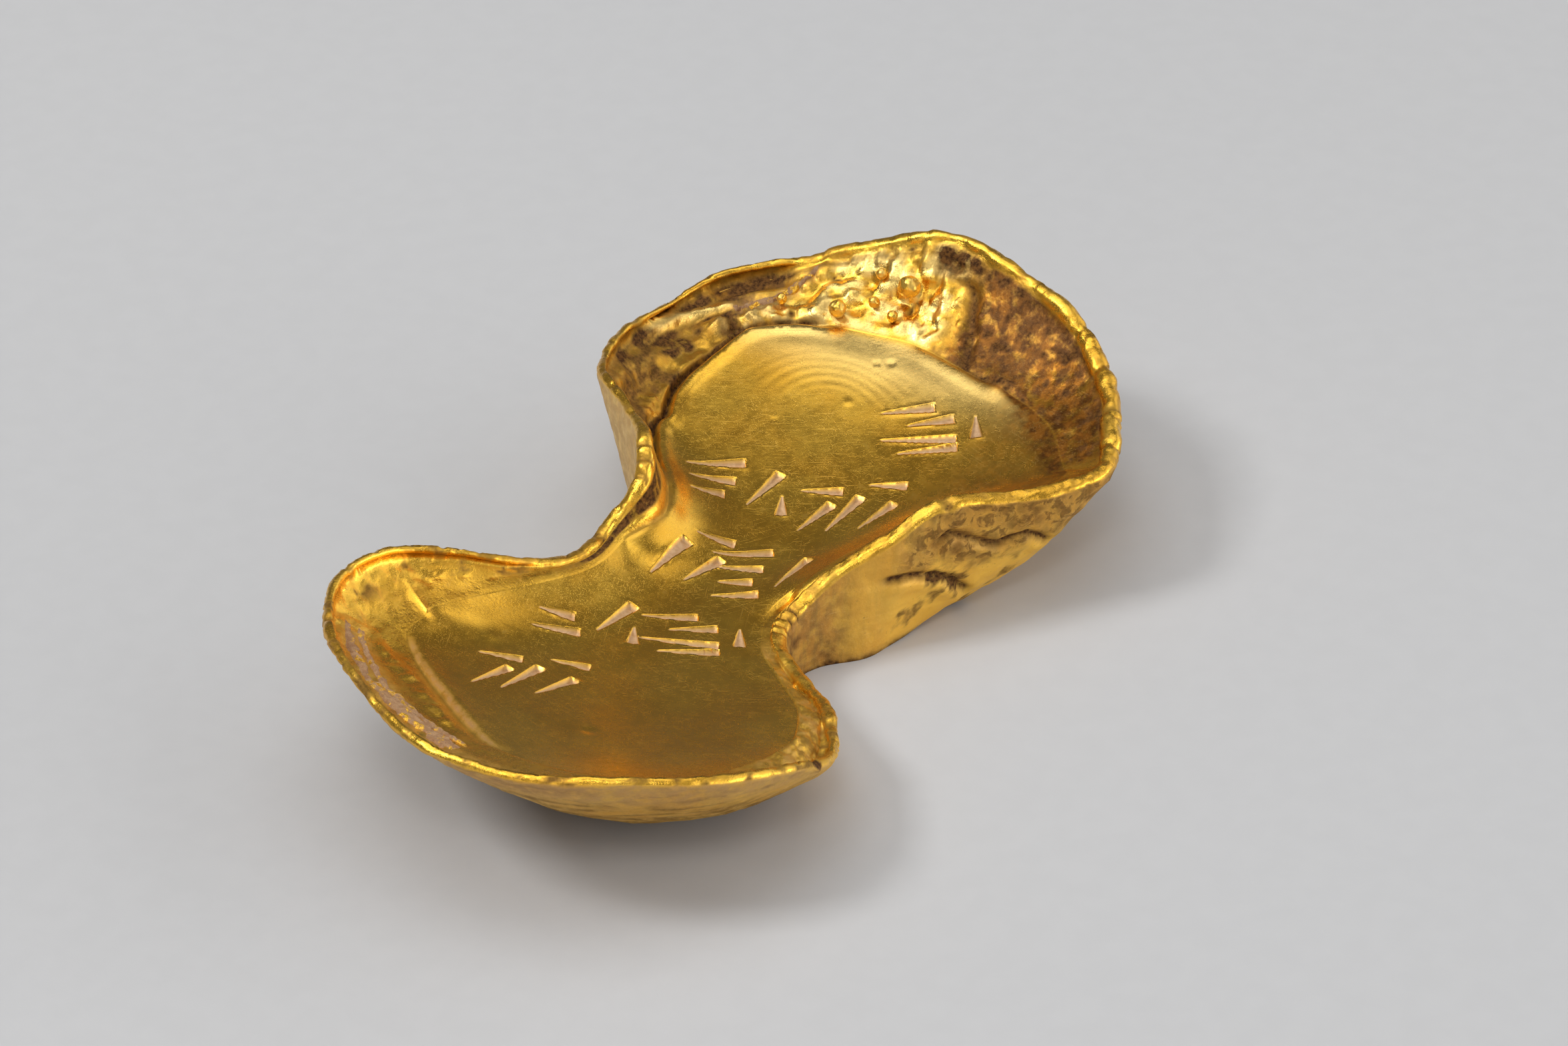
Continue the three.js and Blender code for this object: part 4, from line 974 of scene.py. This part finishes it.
def make_drop(name, material, seed):
    """A lumpy drop of gold, drawn out towards the wall that it froze against."""
    low, high = (np.array(corner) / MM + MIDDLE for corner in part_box(name))
    centre, radius = (low + high) / 2, (high - low).max() / 2
    segments, rings = 36, 24
    points = [[0, 0, -1]]
    for ring in range(1, rings):
        polar = math.pi * ring / rings
        for k in range(segments):
            angle = 2 * math.pi * k / segments
            points.append([math.sin(polar) * math.cos(angle), math.sin(polar) * math.sin(angle), -math.cos(polar)])
    points = np.array(points + [[0, 0, 1]], float)
    uneven = 0.88 + 0.1 * lumps(points, 0.8, 2, seed) + 0.04 * lumps(points, 0.3, 2, seed + 1)
    wall = closest_wall(centre)
    toward = (wall - centre) / np.linalg.norm(wall - centre)
    reach = np.linalg.norm(wall - centre) + 0.1
    facing = np.clip(points @ toward, 0, 1)
    shape = centre + points * (uneven * radius)[:, None]
    shape += toward * (np.maximum(reach - radius * 0.9, 0) * facing ** 3)[:, None]
    count = len(points)
    faces = [(0, 1 + (k + 1) % segments, 1 + k) for k in range(segments)]
    for ring in range(rings - 2):
        a, b = 1 + ring * segments, 1 + (ring + 1) * segments
        faces += [(a + k, a + (k + 1) % segments, b + (k + 1) % segments, b + k) for k in range(segments)]
    a = 1 + (rings - 2) * segments
    faces += [(a + k, a + (k + 1) % segments, count - 1) for k in range(segments)]
    # painted shade: the drop is darker on the side that faces the wall it touches
    shade = np.clip(facing ** 2, 0, 1)
    piece = finish_mesh(name + "_drop", shape, faces, material, (("neck", shade),))
    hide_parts(name)


def closest_wall(place):
    """The place on the inner wall below the far rim that is closest to a given one."""
    turns, shares = np.meshgrid(np.linspace(-0.02, 0.09, 56), np.linspace(0.05, 0.98, 40))
    turns, shares = turns.ravel() % 1.0, shares.ravel()
    surface = base_point(turns, shares, np.full(len(turns), INNER))[0]
    return surface[np.argmin(((surface - place) ** 2).sum(1))]


# ---- materials ----

class Finish:
    """A material made node by node."""

    def __init__(self, name):
        self.material = bpy.data.materials.new(name)
        self.material.use_nodes = True
        self.tree = self.material.node_tree
        self.shader = self.tree.nodes["Principled BSDF"]
        self.place = self.tree.nodes.new("ShaderNodeTexCoord").outputs["Object"]

    def join(self, source, target):
        """Sets a socket to a number, place or colour, or links another socket to it."""
        if isinstance(source, bpy.types.NodeSocket):
            self.tree.links.new(source, target)
        else:
            target.default_value = (*source, 1) if target.type == "RGBA" else source

    def node(self, kind, output, inputs, **settings):
        """A new node with its settings and inputs. Gives the socket to read."""
        node = self.tree.nodes.new("ShaderNode" + kind)
        for title, value in settings.items():
            setattr(node, title, value)
        for title, value in inputs.items():
            self.join(value, node.inputs[title])
        return node.outputs[output]

    def stretched(self, scale, turn=(0, 0, 0)):
        """The place with what is drawn on it lengthened along turned axes."""
        inputs = {"Rotation": turn, "Scale": scale, "Vector": self.place}
        return self.node("Mapping", "Vector", inputs, vector_type="TEXTURE")

    def noise(self, size, detail=4, rough=0.5, warp=0.0, vector=None):
        return self.node("TexNoise", "Fac", {
            "Scale": 1 / (size * MM), "Detail": detail, "Roughness": rough, "Distortion": warp,
            "Vector": self.place if vector is None else vector})

    def cells(self, size, output="Distance"):
        return self.node("TexVoronoi", output, {"Scale": 1 / (size * MM), "Vector": self.warped(0.5)})

    def warped(self, reach):
        """The place, shifted unevenly by up to a reach in millimetres."""
        shift = self.node("TexNoise", "Color", {"Scale": 1 / (1.4 * MM), "Vector": self.place})
        inputs = {0: shift, 1: (2 * reach * MM,) * 3, 2: self.place}
        return self.node("VectorMath", "Vector", inputs, operation="MULTIPLY_ADD")

    def mask(self, title):
        return self.node("Attribute", "Fac", {}, attribute_name=title)

    def range(self, value, low, high, to_low=0.0, to_high=1.0):
        inputs = {"From Min": low, "From Max": high, "To Min": to_low, "To Max": to_high, "Value": value}
        return self.node("MapRange", "Result", inputs, interpolation_type="SMOOTHSTEP")

    def math(self, kind, first, second):
        return self.node("Math", "Value", {0: first, 1: second}, operation=kind)

    def times(self, first, second):
        return self.math("MULTIPLY", first, second)

    def plus(self, first, second):
        return self.math("ADD", first, second)

    def most(self, first, second):
        return self.math("MAXIMUM", first, second)

    def mix(self, share, first, second):
        return self.node("Mix", "Result", {"Factor": share, "A": first, "B": second}, data_type="RGBA")

    def blend(self, share, first, second):
        return self.node("Mix", 0, {0: share, 2: first, 3: second}, data_type="FLOAT")

    def bump(self, height, depth, after=None):
        inputs = {"Strength": 1, "Distance": depth * MM, "Height": height}
        return self.node("Bump", "Normal", inputs if after is None else {**inputs, "Normal": after})

    def set(self, **values):
        for title, value in values.items():
            self.join(value, self.shader.inputs[title.replace("_", " ")])


GOLD_DEEP, GOLD, GOLD_PALE = (0.85, 0.45, 0.045), (0.92, 0.53, 0.062), (0.95, 0.64, 0.17)
# pale gold used for painted highlights and the lighter scratches
GOLD_HIGHLIGHT = (0.97, 0.7, 0.24)
AMBER, AMBER_DEEP = (0.34, 0.125, 0.01), (0.13, 0.046, 0.005)
# dark colours for soil and for painted shade
SOIL_AND_SHADE_DARK, SOIL_AND_SHADE = (0.045, 0.018, 0.005), (0.17, 0.075, 0.018)
PINK, PINK_PALE = (0.32, 0.16, 0.065), (0.44, 0.26, 0.13)
CUT_METAL, CUT_METAL_PALE = (0.5, 0.31, 0.17), (0.64, 0.44, 0.27)
GRIT_DARK = (0.2, 0.1, 0.06)
PAPER, PAPER_PALE = (0.54, 0.54, 0.545), (0.55, 0.55, 0.555)


# Width, length and heading of the fine scratches
SCRATCHES = ((0.07, 110, -0.6), (0.08, 90, 0.35), (0.075, 100, 1.2), (0.08, 70, 2.05))


def scratched(finish):
    """Fine straight scratches in a few directions, denser in patches."""
    scored = 0.0
    for size, length, heading in SCRATCHES:
        lines = finish.noise(size, 1, 0.5, 0.0, finish.stretched((length, 1, 1), (0, 0, heading)))
        lines = finish.range(lines, 0.66, 0.74)
        scored = finish.most(scored, lines) if scored else lines
    return finish.times(scored, finish.range(finish.noise(4, 3), 0.3, 0.6, 0.35, 1))


def cast_gold():
    finish = Finish("cast_gold")
    broad, fine, grain = finish.noise(7, 4), finish.noise(1.3, 6, 0.6), finish.noise(0.35, 5, 0.6)
    wall, outer, marks = finish.mask("wall"), finish.mask("outer"), finish.mask("marks")
    colour = finish.mix(finish.range(broad, 0.35, 0.65), GOLD_DEEP, GOLD)
    colour = finish.mix(finish.range(fine, 0.6, 0.85, 0, 0.4), colour, GOLD_PALE)
    # painted highlight and pale tone: lighter gold from the pale mask
    colour = finish.mix(finish.times(finish.mask("pale_and_painted_highlight"), 0.8), colour, GOLD_HIGHLIGHT)
    # amber film
    amber = finish.times(finish.mask("amber"), finish.range(fine, 0.25, 0.6, 0.6, 1.1))
    streaks = finish.noise(1.1, 4, 0.6, 0.3, finish.stretched((1, 1, 4)))
    colour = finish.mix(amber, colour, finish.mix(finish.range(streaks, 0.38, 0.64), AMBER_DEEP, AMBER))
    scored = scratched(finish)
    # the scratches are painted lighter, a painted highlight where they catch light
    colour = finish.mix(finish.times(scored, 0.2), colour, GOLD_HIGHLIGHT)
    # dark residue and painted shade, specks and the blotches of the outer wall
    soil_and_painted_shade = finish.times(finish.mask("soil_and_painted_shade"), finish.range(fine, 0.25, 0.6, 0.45, 1.2))
    speck = finish.times(finish.range(finish.noise(0.55, 3, 0.7), 0.64, 0.72), 0.4)
    soil_and_painted_shade = finish.most(soil_and_painted_shade, finish.times(speck, wall))
    spots = finish.times(finish.range(finish.cells(1.6), 0.2, 0.72, 1, 0),
                         finish.range(finish.cells(1.6, "Color"), 0.1, 0.7, 0.3, 0.85))
    mottle = finish.times(finish.range(finish.noise(1.5, 4, 0.62, 0.8), 0.46, 0.58), 0.72)
    soil_and_painted_shade = finish.most(soil_and_painted_shade, finish.times(finish.most(finish.times(spots, 0.8), mottle), finish.mask("blotch")))
    colour = finish.mix(soil_and_painted_shade, colour, finish.mix(finish.range(grain, 0.35, 0.65), SOIL_AND_SHADE_DARK, SOIL_AND_SHADE))
    # mineral dust and the cut metal
    dust = finish.times(finish.mask("pink"), finish.range(fine, 0.3, 0.62, 0.3, 1))
    colour = finish.mix(dust, colour, finish.mix(grain, PINK, PINK_PALE))
    cut_tone = finish.mix(finish.range(grain, 0.3, 0.7), CUT_METAL, CUT_METAL_PALE)
    colour = finish.mix(finish.times(marks, 0.9), colour, cut_tone)
    rough = finish.blend(wall, finish.range(fine, 0.3, 0.7, 0.2, 0.28), finish.range(fine, 0.3, 0.7, 0.22, 0.36))
    for layer, share in ((scored, 0.12), (outer, 0.16), (soil_and_painted_shade, 0.3), (dust, 0.3), (amber, 0.1)):
        rough = finish.plus(rough, finish.times(layer, share))
    metal = 1
    for layer, share in ((soil_and_painted_shade, 0.6), (outer, 0.65), (dust, 0.6), (amber, 0.2), (marks, 0.7)):
        metal = finish.math("SUBTRACT", metal, finish.times(layer, share))
    relief = finish.times(finish.plus(grain, finish.times(fine, 2)), finish.blend(wall, 0.1, 1))
    normal = finish.bump(scored, -0.004, finish.bump(relief, 0.05))
    finish.set(Base_Color=colour, Roughness=finish.blend(marks, rough, 0.55), Metallic=metal, Normal=normal)
    finish.set(Specular_IOR_Level=finish.blend(soil_and_painted_shade, 0.5, 0.15))
    return finish.material


def drop_gold():
    finish = Finish("drop_gold")
    fine, grain = finish.noise(0.9, 5, 0.6), finish.noise(0.25, 4)
    colour = finish.mix(finish.range(fine, 0.3, 0.7), GOLD, GOLD_PALE)
    # painted shade darkens the drop's neck towards the wall
    colour = finish.mix(finish.times(finish.mask("neck"), 0.7), colour, SOIL_AND_SHADE)
    rough = finish.range(fine, 0.3, 0.7, 0.24, 0.4)
    normal = finish.bump(grain, 0.03, finish.bump(fine, 0.08))
    finish.set(Base_Color=colour, Roughness=rough, Metallic=0.96, Normal=normal)
    return finish.material


def grit_deposit():
    finish = Finish("grit_deposit")
    fine, grain = finish.noise(0.8, 6, 0.65), finish.noise(0.2, 4)
    colour = finish.mix(finish.range(fine, 0.35, 0.65), PINK, PINK_PALE)
    colour = finish.mix(finish.range(grain, 0.58, 0.75, 0, 0.6), colour, GRIT_DARK)
    bare = finish.range(finish.noise(1.1, 3, 0.6), 0.54, 0.64)
    colour = finish.mix(bare, colour, GOLD)
    normal = finish.bump(grain, 0.08, finish.bump(fine, 0.15))
    rough = finish.blend(bare, finish.range(fine, 0.3, 0.7, 0.7, 0.95), 0.35)
    finish.set(Base_Color=colour, Roughness=rough, Metallic=bare, Normal=normal)
    return finish.material


# ---- camera, floor and lights ----

CAMERA_PLACE = (-0.42201, -0.23324, 0.3268)
CAMERA_FORWARD = (0.7378, 0.3988, -0.5446)
CAMERA_LENS = 143.3
FLOOR_SIDE = 3.0

# The soft panels: heading in degrees from straight behind the ingot, elevation, distance, size and radiance
BACK = 28.4
PANELS = {
    "key_panel": (100, 50, 1.2, (0.3, 0.3), 20),
    "overhead_panel": (0, 79, 1.2, (1.15, 0.88), 1.3),
    "left_overhead_panel": (90, 76, 1.1, (0.7, 0.5), 0.7),
    "right_panel": (-84, 28, 1.2, (2.5, 0.8), 0.95),
    "low_right_panel": (-100, 8, 1.25, (1.4, 0.28), 4.3),
    "front_panel": (168, 50, 1.2, (1.0, 0.5), 1.05),
    "front_key": (176, 51, 1.2, (0.26, 0.22), 7),
    "low_front_panel": (172, 11, 1.25, (1.5, 0.3), 1.3),
}


def make_camera():
    data = bpy.data.cameras.new("camera")
    data.lens = CAMERA_LENS
    data.sensor_width = 36
    data.clip_start, data.clip_end = 0.01, 10
    camera = bpy.data.objects.new("camera", data)
    camera.location = CAMERA_PLACE
    camera.rotation_mode = "QUATERNION"
    camera.rotation_quaternion = Vector(CAMERA_FORWARD).to_track_quat("-Z", "Y")
    bpy.context.scene.collection.objects.link(camera)
    bpy.context.scene.camera = camera


def make_floor():
    mesh = bpy.data.meshes.new("floor")
    corners = [(x * FLOOR_SIDE, y * FLOOR_SIDE, 0) for x, y in ((-1, -1), (1, -1), (1, 1), (-1, 1))]
    mesh.from_pydata(corners, [], [(0, 1, 2, 3)])
    floor = bpy.data.objects.new("floor", mesh)
    bpy.context.scene.collection.objects.link(floor)
    paper = Finish("floor_paper")
    tone = paper.mix(paper.range(paper.noise(3, 3), 0.3, 0.7), PAPER, PAPER_PALE)
    paper.set(Base_Color=tone, Roughness=0.9)
    mesh.materials.append(paper.material)


def make_lamp(name, heading, elevation, distance, size, radiance):
    """A soft panel facing the ingot, with the radiance that the metal mirrors."""
    data = bpy.data.lights.new(name, "AREA")
    data.shape = "RECTANGLE"
    data.size, data.size_y = size
    data.energy = radiance * math.pi * size[0] * size[1]
    lamp = bpy.data.objects.new(name, data)
    turn, lift = math.radians(BACK + heading), math.radians(elevation)
    place = Vector((math.cos(turn) * math.cos(lift), math.sin(turn) * math.cos(lift), math.sin(lift))) * distance
    lamp.location = place
    lamp.rotation_mode = "QUATERNION"
    lamp.rotation_quaternion = (-place).to_track_quat("-Z", "Y")
    bpy.context.scene.collection.objects.link(lamp)


def make_light():
    for name, panel in PANELS.items():
        make_lamp(name, *panel)
    world = bpy.context.scene.world or bpy.data.worlds.new("world")
    bpy.context.scene.world = world
    world.use_nodes = True
    background = world.node_tree.nodes["Background"]
    background.inputs["Color"].default_value = (1, 1, 1, 1)
    background.inputs["Strength"].default_value = 0.15
    bpy.context.scene.view_settings.view_transform = "Standard"


make_camera()
make_floor()
make_light()
make_casting(cast_gold())
grit = grit_deposit()
GUTTER_STRIPS = ((((0, 0.04), (0.4, 0.08), (0.6, 0.26), (0.8, 0.4), (1, 0.5)), 0.19),
                 (((0.5, 0.38), (0.65, 0.52), (0.93, 0.78)), 0.06))
WALL_STRIPS = ((((0, 0), (0.2, 0.45), (0.5, 0.8), (1, 0.9)), 0.17),)
make_crust("gutter_crust", grit, (0.397, 0.483), (0.1, 0.82), 31, GUTTER_STRIPS)
make_crust("wall_crust", grit, (0.043, 0.08), (0.05, 0.62), 37, WALL_STRIPS)
drops = drop_gold()
for number in range(1, 7):
    make_drop(f"prill_{number}", drops, 40 + number * 3)
